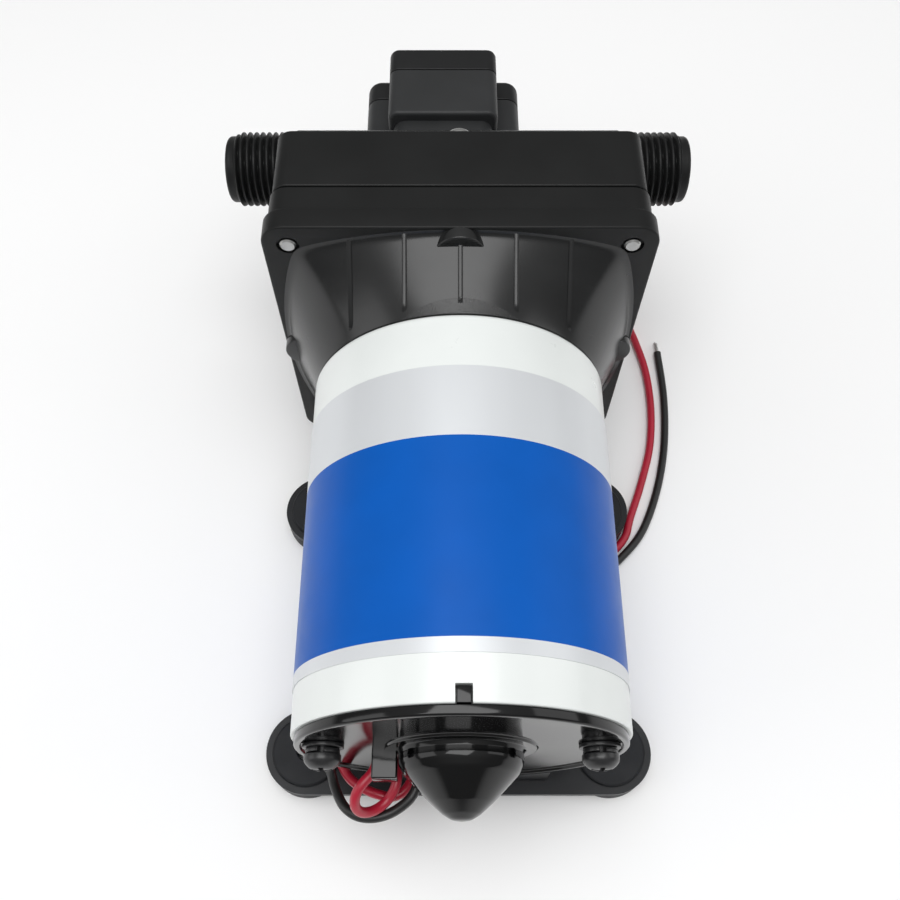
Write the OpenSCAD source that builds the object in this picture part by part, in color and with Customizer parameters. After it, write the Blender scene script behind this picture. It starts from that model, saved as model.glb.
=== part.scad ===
// Twelve volt diaphragm water pump on rubber feet.
// X runs from the inlet port to the outlet port, Y along the motor towards the pump head, Z up.
// The origin is on the mounting surface, at the centre of the four foot holes.

/* [Motor] */
// Outside diameter of the motor can
can_d = 76; // [72:1:80]
// Length of the motor can
can_l = 90; // [84:1:100]
// Wall of the motor can
can_wall = 2; // [1.5:0.1:2.5]
// Height of the motor axis above the mounting surface
axis_h = 52; // [51:0.5:60]
// Diameter of the motor shaft
shaft_d = 8; // [7:0.5:9]
// Distance of each through bolt from the vertical middle plane
bolt_x = 30.4; // [30:0.1:31]
// Height of the through bolts above the motor axis
bolt_z = 4; // [0:0.5:6]
// Thread diameter of the through bolts
bolt_d = 4; // [3:0.5:4]
// Length of the nose on the rear cap
nose_l = 15.5; // [14:0.5:20]
// Radius of the nose on the rear cap
nose_r = 14; // [13:0.5:15]
// Diameter of the commutator
commutator_d = 22; // [18:1:22]

/* [Label] */
// Where the label starts, from the rear rim of the can
label_y = 9.7; // [8:0.1:14]
// Length of the label along the can
label_l = 65.7; // [50:0.1:70]
// Thickness of the label
label_t = 0.2; // [0.1:0.05:0.4]

/* [Pump head] */
// Width and height of the square flange
flange_w = 95; // [94:0.5:100]
// Thickness of the flange
flange_t = 6; // [5:0.5:8]
// Length of the throat between the can and the flange
throat_l = 17.2; // [16:0.2:22]
// Thickness of the valve ring at its edge
ring_t = 7.4; // [6.5:0.1:8]
// Thickness of the head plate at its edge
head_t = 19.6; // [18:0.1:22]
// Distance of the head screws from the edges of the flange
screw_inset = 6.35; // [5.5:0.05:6.6]
// Thread diameter of the head screws
screw_d = 4; // [3.5:0.1:4.2]
// Width of the fine ribs on the throat
rib_w = 1.2; // [0.6:0.1:1.6]
// Spacing of the fine ribs on the throat
rib_pitch = 13.2; // [10:0.1:14]

/* [Ports] */
// Distance between the tips of the two ports
port_span = 130.2; // [130:0.2:140]
// Outside diameter of the port thread
thread_d = 20.4; // [20:0.1:21.3]
// Pitch of the port thread
thread_pitch = 1.814; // [1.5:0.001:2]
// Bore of the ports
port_bore = 13; // [10:0.5:14]
// Height of the port axis above the motor axis
port_z = 15; // [13:0.5:16]
// Distance of the port axis in front of the flange
port_y = 49.8; // [48:0.2:51]

/* [Drive] */
// Tilt of the wobble plate
tilt = 4.5; // [3:0.5:4.5]
// Distance of each piston from the axis lines, as a share of the diaphragm's radius
piston_share = 0.4315; // [0.42:0.0005:0.44]
// Clearance between a piston cap and its chamber
piston_gap = 3.7; // [3.2:0.1:5]
// Thickness of the diaphragm
diaphragm_t = 2.5; // [2.4:0.1:3]

/* [Pressure switch] */
// Distance of the switch from the vertical middle plane, towards the outlet
switch_x = -4.2; // [-5:0.1:5]
// Width and height of the switch block
switch_w = 33; // [31:0.5:36]
// Width over the screw lobes of the switch
switch_lobes_w = 48; // [46:0.5:50]
// Length of the switch cap
switch_cap_l = 9.6; // [8:0.1:12]
// Travel of the switch plunger
plunger_travel = 1.2; // [0.6:0.1:1.4]

/* [Mounting] */
// Spacing of the foot holes across the pump
foot_pitch_x = 81; // [78:0.5:86]
// Spacing of the foot holes along the pump
foot_pitch_y = 70.6; // [66:0.2:76]
// Diameter of each foot
foot_d = 22; // [20:0.2:24]
// Height of each foot
foot_h = 10; // [9:0.5:10.5]
// Hole through each foot
foot_hole_d = 5.2; // [4.2:0.1:6]
// Thickness of the crossbars
bar_t = 2.6; // [2:0.1:3]

/* [Wires] */
// Diameter of the insulated wires
wire_d = 2.4; // [2:0.1:2.6]
// Diameter of the bared wire end
strand_d = 1.4; // [1:0.1:1.8]

/* [Fits] */
// Radial clearance of a running fit
run_fit = 0.04; // [0.02:0.01:0.08]
// Radial clearance of a fixed fit
seat_fit = 0.02; // [0.01:0.01:0.05]

/* [Hidden] */
$fn = 96;

can_r = can_d / 2;
bore_r = can_r - can_wall;
shaft_r = shaft_d / 2;
commutator_r = commutator_d / 2;
rear_setback = 5.4;
rear_y = -foot_pitch_y / 2 - rear_setback;

// Stations along the motor axis, from the rear rim of the can
cap_face = -1.5;
cap_lip = -2.2;
nose_tip = cap_face - nose_l;
throat_y = can_l;
flange_y = throat_y + throat_l;
flange_end = flange_y + flange_t;
ring_end = flange_end + ring_t;
head_end = ring_end + head_t;
bearing_w = 7;
bearing_r = 11;
bearing_y = throat_y + 0.6;
web_end = bearing_y + bearing_w;
diaphragm_y = flange_end - diaphragm_t;
rock_y = flange_end - diaphragm_t / 2;
ring_boss_end = ring_end + 5;
chamber_end = ring_end + 1.6;
gallery_end = head_end - 5.4;
port_axis_y = flange_y + port_y;
switch_y = port_axis_y + thread_d / 2 + 1;
switch_step = switch_y + 10.4;
switch_split = switch_step + 18.5;
switch_end = switch_split + switch_cap_l;

// Outline sizes of the pump head
flange_r = 6;
ring_w = flange_w - 2;
head_w = flange_w - 3;
head_r = 4;
throat_w = flange_w - 3.4;
throat_bulge_r = 125;
throat_fold = 2;
screw_at = flange_w / 2 - screw_inset;
screw_wall = 0.6;
diaphragm_r = screw_at - screw_d / 2 - screw_wall;
cavity_r = diaphragm_r - 1.4;
piston_at = diaphragm_r * piston_share;
chamber_r = piston_at * 0.835;
pad_r = chamber_r - 0.7;
boss_r = screw_inset - 0.05;
boss_l = 2.9;
corner_head_r = 2.9;
corner_head_h = 2.2;
corner_seat = head_end - 2.6;
mid_head_r = 3.8;
mid_head_h = 3.4;

// Spread of the moving pieces
hub_r = 9;
race_r = 15;
cap_r = chamber_r - piston_gap;
post_r = cap_r - 2;
web_r = piston_at * 1.59;
brush_w = 8;
brush_y = 14.5;
brush_l = 8;
box_wall = 0.8;
box_end = 26;
button_z = 11;
piston_screw_r = 1.6;
chamber_entry = 3.2;
boss_face_r = diaphragm_r - 1.9;
outlet_r = piston_at + 0.2;
outlet_stem_r = 1.9;
inlet_stem_r = 1.15;
seal_t = 1.2;

// Armature slots
slot_count = 12;
slot_at = 19.5;
slot_r = 3.2;
slot_mouth = 2.2;

// Ball bearing on the motor shaft
ball_r = 1.9;
ball_at = 7.5;
race_gap = 0.05;

// Passages of the upper housing
thread_r = thread_d / 2;
nose_plain = 3.2;
manifold_l = head_w;
manifold_r = thread_r + 0.5;
dome_r = 19;
suction_x = boss_face_r * 0.72;
suction_r = 5;
delivery_x = 8;
delivery_r = 4;
sense_r = 2;
bore_step = 0.3;

// Pressure switch details
lobe_r = 4.5;
lobe_x = switch_lobes_w / 2 - lobe_r;
lobe_screw_r = 1.5;
lobe_head_r = 2.5;
lobe_end = switch_end - 0.6;
lobe_seat = lobe_end - 2.4;
plunger_r = 5;
adjuster_r = 3;
terminal_r = wire_d / 2 + 0.8;

// Places where the wires leave the rear cap and enter the switch
wire_bush_r = wire_d / 2 + 1.2;
black_exit = [-9.5, -17.5];
red_exit = [-11.5, -22];
red_z = axis_h + red_exit[1];
red_bend_r = 5.6;
loop_start = [-14.94, -16.37];
loop_end = [-19.25, -7.65];
loop_r = 5.7;
loop_middle = [-19.7, -9, axis_h - 13];
loop_turn = 42;
loop_tilt = 62;
lead_x = 10;
lead_y = switch_step + 8.4;
lead_foot = [switch_x + lead_x, rear_y + lead_y];

// Routes of the wires, point by point, with Y from the rear rim of the can
function routed(p) = [for (q = p) [q[0], q[1] + rear_y, q[2]]];
function bend(at, z0, z1, r, a0, a1, n) = [for (i = [0:n]) let (a = a0 + (a1 - a0) * i / n)
  [at[0] + r * cos(a), at[1] + r * sin(a), z0 + (z1 - z0) * i / n]];
function hoop(at, r, turn, tilt, a0, a1, n) = [for (i = [0:n]) let (a = a0 + (a1 - a0) * i / n)
  [at[0] + r * (cos(a) * cos(turn) - sin(a) * cos(tilt) * sin(turn)),
   at[1] + r * (cos(a) * sin(turn) + sin(a) * cos(tilt) * cos(turn)),
   at[2] + r * sin(a) * sin(tilt)]];
black_route = routed([
  [black_exit[0], 0.5, axis_h + black_exit[1]], [black_exit[0], -4, axis_h + black_exit[1]],
  [-11.2, -9, 33.9], [-15, -12.2, 32.6], [-19.5, -13.8, 31.8], [-24, -13.6, 31.2], [-27.6, -11.4, 30.4],
  [-30, -7.5, 28.6], [-31.8, -3, 25.4], [-34.6, 3.6, 17.4], [-31, 14.4, 12.4], [-18, 23, 4.5], [-1, 32, 1.8],
  [20, 42, 1.5], [37, 52, 1.5], [49.5, 63, 1.5], [57, 72, 1.5], [63, 86, 1.5], [67, 102, 1.5],
  [69, 120, 1.5], [68.7, 137.5, 1.5]
]);
black_end_route = routed([[68.7, 137.5, 1.5], [68.4, 141.5, 1.5]]);
jumper_route = routed(concat(
  [for (y = [0.5, -2.2, -4.87]) [loop_start[0], y, axis_h + loop_start[1]]],
  [[-15.01, -5.94, axis_h - 16.43], [-15.22, -6.98, axis_h - 16.62], [-15.56, -7.95, axis_h - 16.94]],
  hoop(loop_middle, loop_r, loop_turn, loop_tilt, -60, -264, 12),
  [[-20.93, -6.44, axis_h - 7.87], [-20.22, -5.57, axis_h - 7.77], [-19.69, -4.58, axis_h - 7.7]],
  [[-19.36, -3.5, axis_h - 7.66]],
  [for (y = [-2.38, 0.7]) [loop_end[0], y, axis_h + loop_end[1]]]));
red_route = routed(concat(
  [[red_exit[0], 0.5, red_z], [red_exit[0], -2, red_z]],
  bend([red_exit[0] - red_bend_r, -3.4], red_z, red_z, red_bend_r, 0, -112, 8),
  [[-21.4, -7.9, 29.9], [-24.2, -6.5, 29.2], [-27, -4.3, 27.4], [-29.2, -1, 24.6], [-30.3, 2.6, 21.4],
   [-30.5, 7, 18], [-26, 20.6, 11.8], [-13, 34, 4.8], [4, 45, 2.2], [24, 53, 1.6], [39.4, 59.8, 1.5],
   [46.8, 64.7, 1.5], [51.5, 70, 1.5], [53.8, 76.6, 1.5], [58.5, 89, 1.5], [62.6, 103, 1.5], [64.2, 120, 1.5],
   [62.6, 137, 1.5], [56, lead_y - 31, 2.5],
   [40, lead_y - 12, 7], [lead_foot[0] + 10, lead_y - 1, 17], [lead_foot[0] + 1, lead_y, 28],
   [lead_foot[0], lead_y, axis_h - switch_w / 2 + 1]]));

side_signs = [-1, 1];
quad_signs = [[-1, -1], [1, -1], [-1, 1], [1, 1]];
corner_at = [for (s = quad_signs) screw_at * s];
mid_at = [[0, screw_at], [0, -screw_at], [screw_at, 0], [-screw_at, 0]];
piston_spots = [for (s = quad_signs) piston_at * s];

black_plastic = [0.16, 0.16, 0.16];
gloss_black = [0.08, 0.08, 0.09];
rubber = [0.07, 0.07, 0.07];
zinc = [0.75, 0.76, 0.76];
steel = [0.6, 0.61, 0.62];
copper = [0.72, 0.45, 0.2];
brass = [0.78, 0.62, 0.3];
white_paint = [0.93, 0.94, 0.93];

// Places its children with Y from the rear rim of the can and Z from the motor axis
module on_axis() {
  translate([0, rear_y, axis_h])
    children();
}

// A solid turned about the motor axis from an outline of radius and station
module turned(angle = 360) {
  on_axis()
    rotate([-90, 0, 0])
      rotate_extrude(angle = angle)
        children();
}

// A plate between two stations from an outline of width and height
module plate(y0, y1) {
  on_axis()
    translate([0, y1, 0])
      rotate([90, 0, 0])
        linear_extrude(y1 - y0)
          children();
}

// A round bar or bore between two stations
module rod(y0, y1, r, x = 0, z = 0) {
  on_axis()
    translate([x, y0, z])
      rotate([-90, 0, 0])
        cylinder(h = y1 - y0, r = r);
}

// A ring between two stations
module ring(y0, y1, r0, r1, x = 0, z = 0) {
  difference() {
    rod(y0, y1, r1, x, z);
    rod(y0 - 1, y1 + 1, r0, x, z);
  }
}

// A block from its low corner to its high corner, measured from the can's rear rim and the axis
module block(low, high) {
  on_axis()
    translate(low)
      cube(high - low);
}

// A rectangle with round corners
module round_rect(w, h, r) {
  square([w - 2 * r, h], center = true);
  square([w, h - 2 * r], center = true);
  for (s = quad_signs)
    translate([s[0] * (w / 2 - r), s[1] * (h / 2 - r)])
      circle(r);
}

// Places its children on the tilted axis of the wobble plate, with Z along that axis
module tilted() {
  on_axis()
    translate([0, rock_y, 0])
      rotate([tilt - 90, 0, 0])
        children();
}

// A round bar on the tilted axis
module tilted_rod(d0, d1, r, at = [0, 0]) {
  tilted()
    translate([at[0], at[1], d0])
      cylinder(h = d1 - d0, r = r);
}

// Vector helpers for swept tubes
function unit(v) = v / norm(v);
function spline(a, b, c, d, t) =
  0.5 * (2 * b + (c - a) * t + (2 * a - 5 * b + 4 * c - d) * t * t + (3 * b - a - 3 * c + d) * t * t * t);
function knot(p, i) = p[max(0, min(len(p) - 1, i))];
function smooth(p, steps) = concat(
  [for (i = [0:len(p) - 2]) for (k = [0:steps - 1])
    spline(knot(p, i - 1), p[i], p[i + 1], knot(p, i + 2), k / steps)],
  [p[len(p) - 1]]);
function tangents(p) = [for (i = [0:len(p) - 1]) unit(knot(p, i + 1) - knot(p, i - 1))];
function carried(t, n, i = 0) =
  i == len(t) ? [] : let (m = unit(n - t[i] * (n * t[i]))) concat([m], carried(t, m, i + 1));

// A tube of the given radius along a list of points
module tube(p, r, sides = 8) {
  t = tangents(p);
  n = carried(t, abs(t[0][2]) < 0.9 ? [0, 0, 1] : [1, 0, 0]);
  rings = len(p);
  points = [for (i = [0:rings - 1]) for (k = [0:sides - 1])
    p[i] + r * (n[i] * cos(360 * k / sides) + cross(t[i], n[i]) * sin(360 * k / sides))];
  walls = [for (i = [0:rings - 2]) for (k = [0:sides - 1])
    [i * sides + k, (i + 1) * sides + k, (i + 1) * sides + (k + 1) % sides, i * sides + (k + 1) % sides]];
  ends = [[for (k = [0:sides - 1]) k], [for (k = [sides - 1:-1:0]) (rings - 1) * sides + k]];
  polyhedron(points, concat(walls, ends), convexity = 8);
}

// A coil spring along Z from zero height
module coil_spring(h, r, wire_r, turns, steps = 12) {
  count = turns * steps;
  tube([for (i = [0:count])
    [r * cos(360 * i / steps), r * sin(360 * i / steps), wire_r + (h - 2 * wire_r) * i / count]], wire_r, 6);
}

// A pan head screw along Z with its seat at zero, the shank going down
module pan_screw(shank_r, shank_l, head_r, head_h) {
  recess_w = head_r * 0.3;
  translate([0, 0, -shank_l])
    cylinder(h = shank_l, r = shank_r);
  difference() {
    rotate_extrude()
      polygon([[0, 0], [head_r, 0], [head_r, head_h * 0.5], [head_r * 0.8, head_h * 0.88],
               [head_r * 0.5, head_h], [0, head_h]]);
    for (a = [0, 90])
      rotate(a)
        translate([0, 0, head_h])
          cube([head_r * 1.1, recess_w, head_h], center = true);
  }
}

// Outline of the throat: round at the can, growing into four bulging faces that meet in folds at the corners
function throat_half(u) = can_r - 0.4 + (throat_w / 2 - can_r + 0.4) * pow(u, 1.15);
function face_r(u) = 1 / ((1 - u) / (can_r - 0.4) + u / throat_bulge_r);
function from_fold(a) = abs((a % 90) - 45);
function off_middle(a) = 45 - sqrt(pow(from_fold(a), 2) + pow(throat_fold, 2) * (1 - from_fold(a) / 45));
function throat_reach(u, a) =
  let (c = throat_half(u) - face_r(u), e = off_middle(a))
  c * cos(e) + sqrt(pow(face_r(u), 2) - pow(c * sin(e), 2));

// The throat as a skin over outlines at growing stations, made larger by extra
module throat_skin(extra = 0, steps = 8, sides = 96) {
  points = [for (i = [0:steps]) for (k = [0:sides - 1])
    let (u = i / steps, a = 360 * k / sides, r = throat_reach(u, a) + extra)
    [r * cos(a), throat_y + throat_l * u, r * sin(a)]];
  walls = [for (i = [0:steps - 1]) for (k = [0:sides - 1])
    [i * sides + k, i * sides + (k + 1) % sides, (i + 1) * sides + (k + 1) % sides, (i + 1) * sides + k]];
  ends = [[for (k = [sides - 1:-1:0]) k], [for (k = [0:sides - 1]) steps * sides + k]];
  on_axis()
    polyhedron(points, concat(walls, ends), convexity = 4);
}

module motor_can() {
  notch_w = 3;
  notch_l = 3.7;
  color(white_paint)
    difference() {
      rod(0, can_l, can_r);
      rod(-1, can_l - can_wall, bore_r);
      rod(can_l - can_wall - 1, can_l + 1, bearing_r + 2);
      block([-notch_w / 2, -1, bore_r - 1], [notch_w / 2, notch_l, can_r + 1]);
      for (s = side_signs)
        rod(can_l - can_wall - 1, can_l + 1, bolt_d / 2 + 0.3, s * bolt_x, bolt_z);
    }
}

module label_band() {
  wrap = 270;
  color([0.07, 0.35, 0.76])
    on_axis()
      rotate([-90, 0, 0])
        rotate(90 + (360 - wrap) / 2)
          rotate_extrude(angle = wrap)
            translate([can_r + seat_fit, label_y])
              square([label_t, label_l]);
}

module rear_cap() {
  spigot_r = bore_r - 0.1;
  flange_edge_r = can_r - 0.8;
  shoulder = cap_face - 4.5;
  tip_r = 3.6;
  color(gloss_black)
    difference() {
      union() {
        turned()
          polygon([[0, 3], [spigot_r - 2.5, 3], [spigot_r - 2.5, 5.5], [spigot_r, 5.5], [spigot_r, 0],
                   [flange_edge_r, 0], [flange_edge_r, cap_lip + 0.7], [flange_edge_r - 0.7, cap_lip],
                   [can_r - 2.2, cap_lip], [can_r - 2.5, cap_face], [nose_r + 2.6, cap_face],
                   [nose_r + 0.8, cap_face - 0.7], [nose_r, cap_face - 2], [nose_r, shoulder],
                   [nose_r - 0.5, shoulder - 1.2], [nose_r - 1.8, shoulder - 2.4],
                   [tip_r + 1.6, nose_tip + 2], [tip_r, nose_tip + 0.8], [tip_r - 1.8, nose_tip],
                   [0, nose_tip]]);
        block([-20, cap_face - 6.5, -6], [-14.3, cap_face + 0.5, 0]);
        block([-1.3, -1, bore_r - 1.5], [1.3, 3.4, can_r - 0.5]);
      }
      rod(cap_face - 7, 4, bearing_r - 4 + seat_fit);
      rod(nose_tip + 3.5, 4, shaft_r + 0.6);
      for (s = side_signs)
        rod(cap_lip - 1, 4, bolt_d / 2 + 0.3, s * bolt_x, bolt_z);
      rod(cap_face - 1, 4, wire_bush_r + seat_fit, black_exit[0], black_exit[1]);
      for (e = [red_exit, loop_start, loop_end])
        rod(cap_face - 1, 4, wire_d / 2 + 0.2, e[0], e[1]);
    }
}

module wire_bush() {
  color(rubber)
    difference() {
      union() {
        rod(cap_face, 3, wire_bush_r, black_exit[0], black_exit[1]);
        rod(cap_face - 1.2, cap_face, wire_bush_r + 0.8, black_exit[0], black_exit[1]);
      }
      rod(cap_face - 2, 4, wire_d / 2 + seat_fit, black_exit[0], black_exit[1]);
    }
}

module through_bolts() {
  head_r = 4.1;
  washer_stack = 2.2;
  color([0.1, 0.1, 0.11])
    for (s = side_signs)
      on_axis()
        translate([s * bolt_x, cap_face - washer_stack, bolt_z])
          rotate([90, 0, 0])
            pan_screw(bolt_d / 2, washer_stack - cap_face + web_end - 0.2, head_r, 3.4);
}

module bolt_washers() {
  flat_t = 0.9;
  color([0.14, 0.14, 0.15])
    for (s = side_signs) {
      ring(cap_face - flat_t, cap_face, bolt_d / 2 + 0.15, 4.6, s * bolt_x, bolt_z);
      difference() {
        ring(cap_face - 2.2, cap_face - flat_t - 0.02, bolt_d / 2 + 0.15, 3.7, s * bolt_x, bolt_z);
        on_axis()
          translate([s * bolt_x, cap_face - 1.6, bolt_z + 3])
            rotate([0, 20, 0])
              cube([0.5, 4, 4], center = true);
      }
    }
}

module rear_bush() {
  color(brass)
    ring(cap_face - 6.8, 2.4, shaft_r + run_fit, bearing_r - 4);
}

module brush_card() {
  color([0.35, 0.24, 0.14])
    difference() {
      ring(brush_y - 6.8, brush_y - 5, commutator_r + 2, bore_r - 0.3);
      for (s = side_signs)
        rod(5, brush_y, bolt_d / 2 + 0.4, s * bolt_x, bolt_z);
    }
}

module brush_boxes() {
  half = brush_w / 2 + 0.1;
  color(brass)
    for (s = side_signs)
      difference() {
        box_shell(s, commutator_r + 1.5, box_end, half + box_wall);
        box_shell(s, commutator_r + 0.5, box_end - box_wall, half);
      }
}

// A square block reaching out along X from one radius to another, at the brush station
module box_shell(s, x0, x1, half) {
  block([min(s * x0, s * x1), brush_y - half, -half], [max(s * x0, s * x1), brush_y + half, half]);
}

module brush(s) {
  color([0.2, 0.2, 0.21])
    difference() {
      box_shell(s, commutator_r - 2, commutator_r + brush_l, brush_w / 2);
      rod(brush_y - brush_w, brush_y + brush_w, commutator_r + 0.06);
    }
}

module brush_left() {
  brush(-1);
}

module brush_right() {
  brush(1);
}

module brush_spring(s) {
  inner = commutator_r + brush_l + 0.1;
  color(steel)
    on_axis()
      translate([s * inner, brush_y, 0])
        rotate([0, s * 90, 0])
          coil_spring(box_end - box_wall - inner - 0.1, 2.8, 0.35, 4);
}

module brush_spring_left() {
  brush_spring(-1);
}

module brush_spring_right() {
  brush_spring(1);
}

module magnets() {
  span = 116;
  color([0.28, 0.28, 0.3])
    for (a = [90, 270])
      on_axis()
        rotate([-90, 0, 0])
          rotate(a - span / 2)
            rotate_extrude(angle = span)
              translate([27.4, 24])
                square([bore_r - 27.4 - 0.1, can_l - 40]);
}

module motor_shaft() {
  color(steel)
    rod(nose_tip + 7, rock_y - 4.6, shaft_r);
}

module armature_core() {
  color([0.45, 0.45, 0.47])
    difference() {
      ring(30, can_l - 22, shaft_r + seat_fit, 26.4);
      for (i = [0:slot_count - 1])
        slot_cut(i, slot_r, 29, can_l - 21);
    }
}

// One winding slot of the armature, closed by a narrow mouth
module slot_cut(i, r, y0, y1) {
  on_axis()
    rotate([0, i * 360 / slot_count, 0])
      translate([slot_at, y0, 0])
        rotate([-90, 0, 0]) {
          cylinder(h = y1 - y0, r = r, $fn = 32);
          translate([0, -slot_mouth / 2, 0])
            cube([slot_at, slot_mouth, y1 - y0]);
        }
}

module armature_winding() {
  coil_t = 5;
  color(copper)
    union() {
      for (i = [0:slot_count - 1])
        on_axis()
          rotate([0, i * 360 / slot_count, 0])
            translate([slot_at, 30 - 1, 0])
              rotate([-90, 0, 0])
                cylinder(h = can_l - 22 - 30 + 2, r = slot_r - 0.15, $fn = 32);
      ring(30 - coil_t, 30 - 0.1, shaft_r + 3.5, slot_at + slot_r - 0.2);
      ring(can_l - 22 + 0.1, can_l - 22 + coil_t, shaft_r + 3.5, slot_at + slot_r - 0.2);
    }
}

module commutator() {
  bars = 12;
  color(copper)
    difference() {
      ring(brush_y - 5.5, brush_y + 6.5, shaft_r + seat_fit, commutator_r);
      for (i = [0:bars - 1])
        on_axis()
          rotate([0, i * 360 / bars, 0])
            translate([commutator_r, brush_y, 0])
              cube([2.4, 30, 0.5], center = true);
    }
}

module front_bearing_outer() {
  color(steel)
    turned()
      difference() {
        translate([ball_at + 1.3, bearing_y])
          square([bearing_r - ball_at - 1.3, bearing_w]);
        translate([ball_at, bearing_y + bearing_w / 2])
          circle(ball_r + race_gap);
      }
}

module front_bearing_inner() {
  color(steel)
    turned()
      difference() {
        translate([shaft_r + seat_fit, bearing_y])
          square([ball_at - 1.3 - shaft_r - seat_fit, bearing_w]);
        translate([ball_at, bearing_y + bearing_w / 2])
          circle(ball_r + race_gap);
      }
}

module bearing_balls() {
  count = 8;
  color(zinc)
    for (i = [0:count - 1])
      on_axis()
        rotate([0, i * 360 / count, 0])
          translate([ball_at, bearing_y + bearing_w / 2, 0])
            sphere(ball_r);
}

module lower_housing() {
  color(black_plastic)
    difference() {
      union() {
        throat_skin();
        throat_ribs();
        plate(flange_y - 0.01, flange_end)
          round_rect(flange_w, flange_w, flange_r);
        for (m = mid_at)
          rod(flange_y - boss_l, flange_y, boss_r, m[0], m[1]);
      }
      turned()
        polygon([[0, web_end], [32, web_end], [cavity_r, web_end + 7], [cavity_r, diaphragm_y],
                 [diaphragm_r + 0.1, diaphragm_y], [diaphragm_r + 0.1, flange_end + 1], [0, flange_end + 1]]);
      rod(throat_y - 1, web_end + 1, bearing_r + seat_fit);
      for (s = side_signs)
        rod(throat_y - 1, web_end + 1, bolt_d / 2 + seat_fit, s * bolt_x, bolt_z);
      for (c = corner_at)
        rod(flange_y - 1, flange_end + 1, screw_d / 2 + seat_fit, c[0], c[1]);
      for (m = mid_at)
        rod(flange_y - boss_l + 1.2, flange_end + 1, screw_d / 2 + seat_fit, m[0], m[1]);
    }
}

// Fine ribs on the upper and lower faces of the throat
module throat_ribs() {
  rib_h = 0.5;
  rib_start = throat_y + 2.5;
  intersection() {
    throat_skin(rib_h);
    for (a = [0, 180])
      on_axis()
        rotate([0, a, 0])
          for (i = [-2:2])
            translate([i * rib_pitch - rib_w / 2, rib_start, can_r * 0.5])
              cube([rib_w, flange_y - rib_start, flange_w]);
  }
}

module drive_cam() {
  color(steel)
    difference() {
      union() {
        rod(web_end + 1.2, rock_y - 8, 7);
        tilted_rod(-10.6, -5, hub_r);
      }
      rod(web_end, rock_y, shaft_r + seat_fit);
    }
}

module cam_bearing() {
  color(zinc)
    difference() {
      tilted_rod(-10.6, -5, race_r - run_fit);
      tilted_rod(-12, -4, hub_r + seat_fit);
    }
}

module wobble_plate() {
  color([0.75, 0.76, 0.74])
    difference() {
      union() {
        tilted_rod(-11, -5, race_r + 4);
        tilted_rod(-8.4, -5, web_r);
        for (s = piston_spots)
          tilted_rod(-8.4, -diaphragm_t / 2, post_r, s);
      }
      tilted_rod(-12, -4, race_r);
      for (s = piston_spots)
        tilted_rod(-9, 0, piston_screw_r + seat_fit, s);
    }
}

module piston_caps() {
  color([0.85, 0.85, 0.82])
    for (s = piston_spots)
      difference() {
        tilted()
          translate([s[0], s[1], diaphragm_t / 2])
            rotate_extrude()
              polygon([[0, 0], [cap_r, 0], [cap_r, 1.2], [cap_r - 1.4, 2.3], [0, 2.3]]);
        tilted_rod(0, 6, piston_screw_r + seat_fit, s);
      }
}

module piston_screws() {
  color(zinc)
    for (s = piston_spots)
      tilted()
        translate([s[0], s[1], diaphragm_t / 2 + 2.3])
          pan_screw(piston_screw_r, 9, 3, 1.5);
}

module diaphragm() {
  color(rubber)
    difference() {
      union() {
        difference() {
          rod(diaphragm_y, flange_end, diaphragm_r);
          for (s = piston_spots)
            rod(diaphragm_y - 1, flange_end + 1, pad_r - 1.5, s[0], -s[1]);
        }
        for (s = piston_spots)
          tilted_rod(-diaphragm_t / 2, diaphragm_t / 2, pad_r, s);
      }
      for (s = piston_spots)
        tilted_rod(-4, 4, piston_screw_r + seat_fit, s);
    }
}

module valve_ring() {
  color(black_plastic)
    difference() {
      union() {
        plate(flange_end, ring_end)
          round_rect(ring_w, ring_w, flange_r - 1);
        rod(ring_end - 1, ring_boss_end, boss_face_r);
      }
      for (s = piston_spots) {
        rod(flange_end - 1, flange_end + chamber_entry, chamber_r, s[0], s[1]);
        rod(flange_end, chamber_end, chamber_r - 1.8, s[0], s[1]);
        valve_holes(s);
        rod(chamber_end - 1, ring_boss_end + 1, 1.6, s[0] * 0.6, s[1] * 0.6);
      }
      rod(ring_end, ring_boss_end + 1, outlet_stem_r + seat_fit);
      for (c = concat(corner_at, mid_at))
        rod(flange_end - 1, ring_end + 1, screw_d / 2 + 0.2, c[0], c[1]);
    }
}

// The stem hole and flow holes of one inlet valve
module valve_holes(s) {
  rod(chamber_end - 1, ring_boss_end + 1, inlet_stem_r + seat_fit, s[0] * 1.2, s[1] * 1.2);
  for (a = [0:60:300])
    rod(chamber_end - 1, ring_boss_end + 1, 1.1, s[0] * 1.2 + 3.1 * cos(a), s[1] * 1.2 + 3.1 * sin(a));
}

module inlet_valves() {
  color([0.75, 0.3, 0.2])
    for (s = piston_spots) {
      rod(chamber_end - 1, chamber_end - 0.05, 4.9, s[0] * 1.2, s[1] * 1.2);
      rod(chamber_end - 0.5, ring_boss_end + 0.8, inlet_stem_r, s[0] * 1.2, s[1] * 1.2);
    }
}

module outlet_valve() {
  color([0.75, 0.3, 0.2]) {
    rod(ring_boss_end + 0.05, ring_boss_end + 1.3, outlet_r - 1.2);
    rod(ring_end + 0.5, ring_boss_end + 0.5, outlet_stem_r);
  }
}

module head_seal() {
  color(rubber)
    ring(ring_end, ring_end + seal_t, boss_face_r + 0.8, boss_face_r + 1.9);
}

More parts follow.
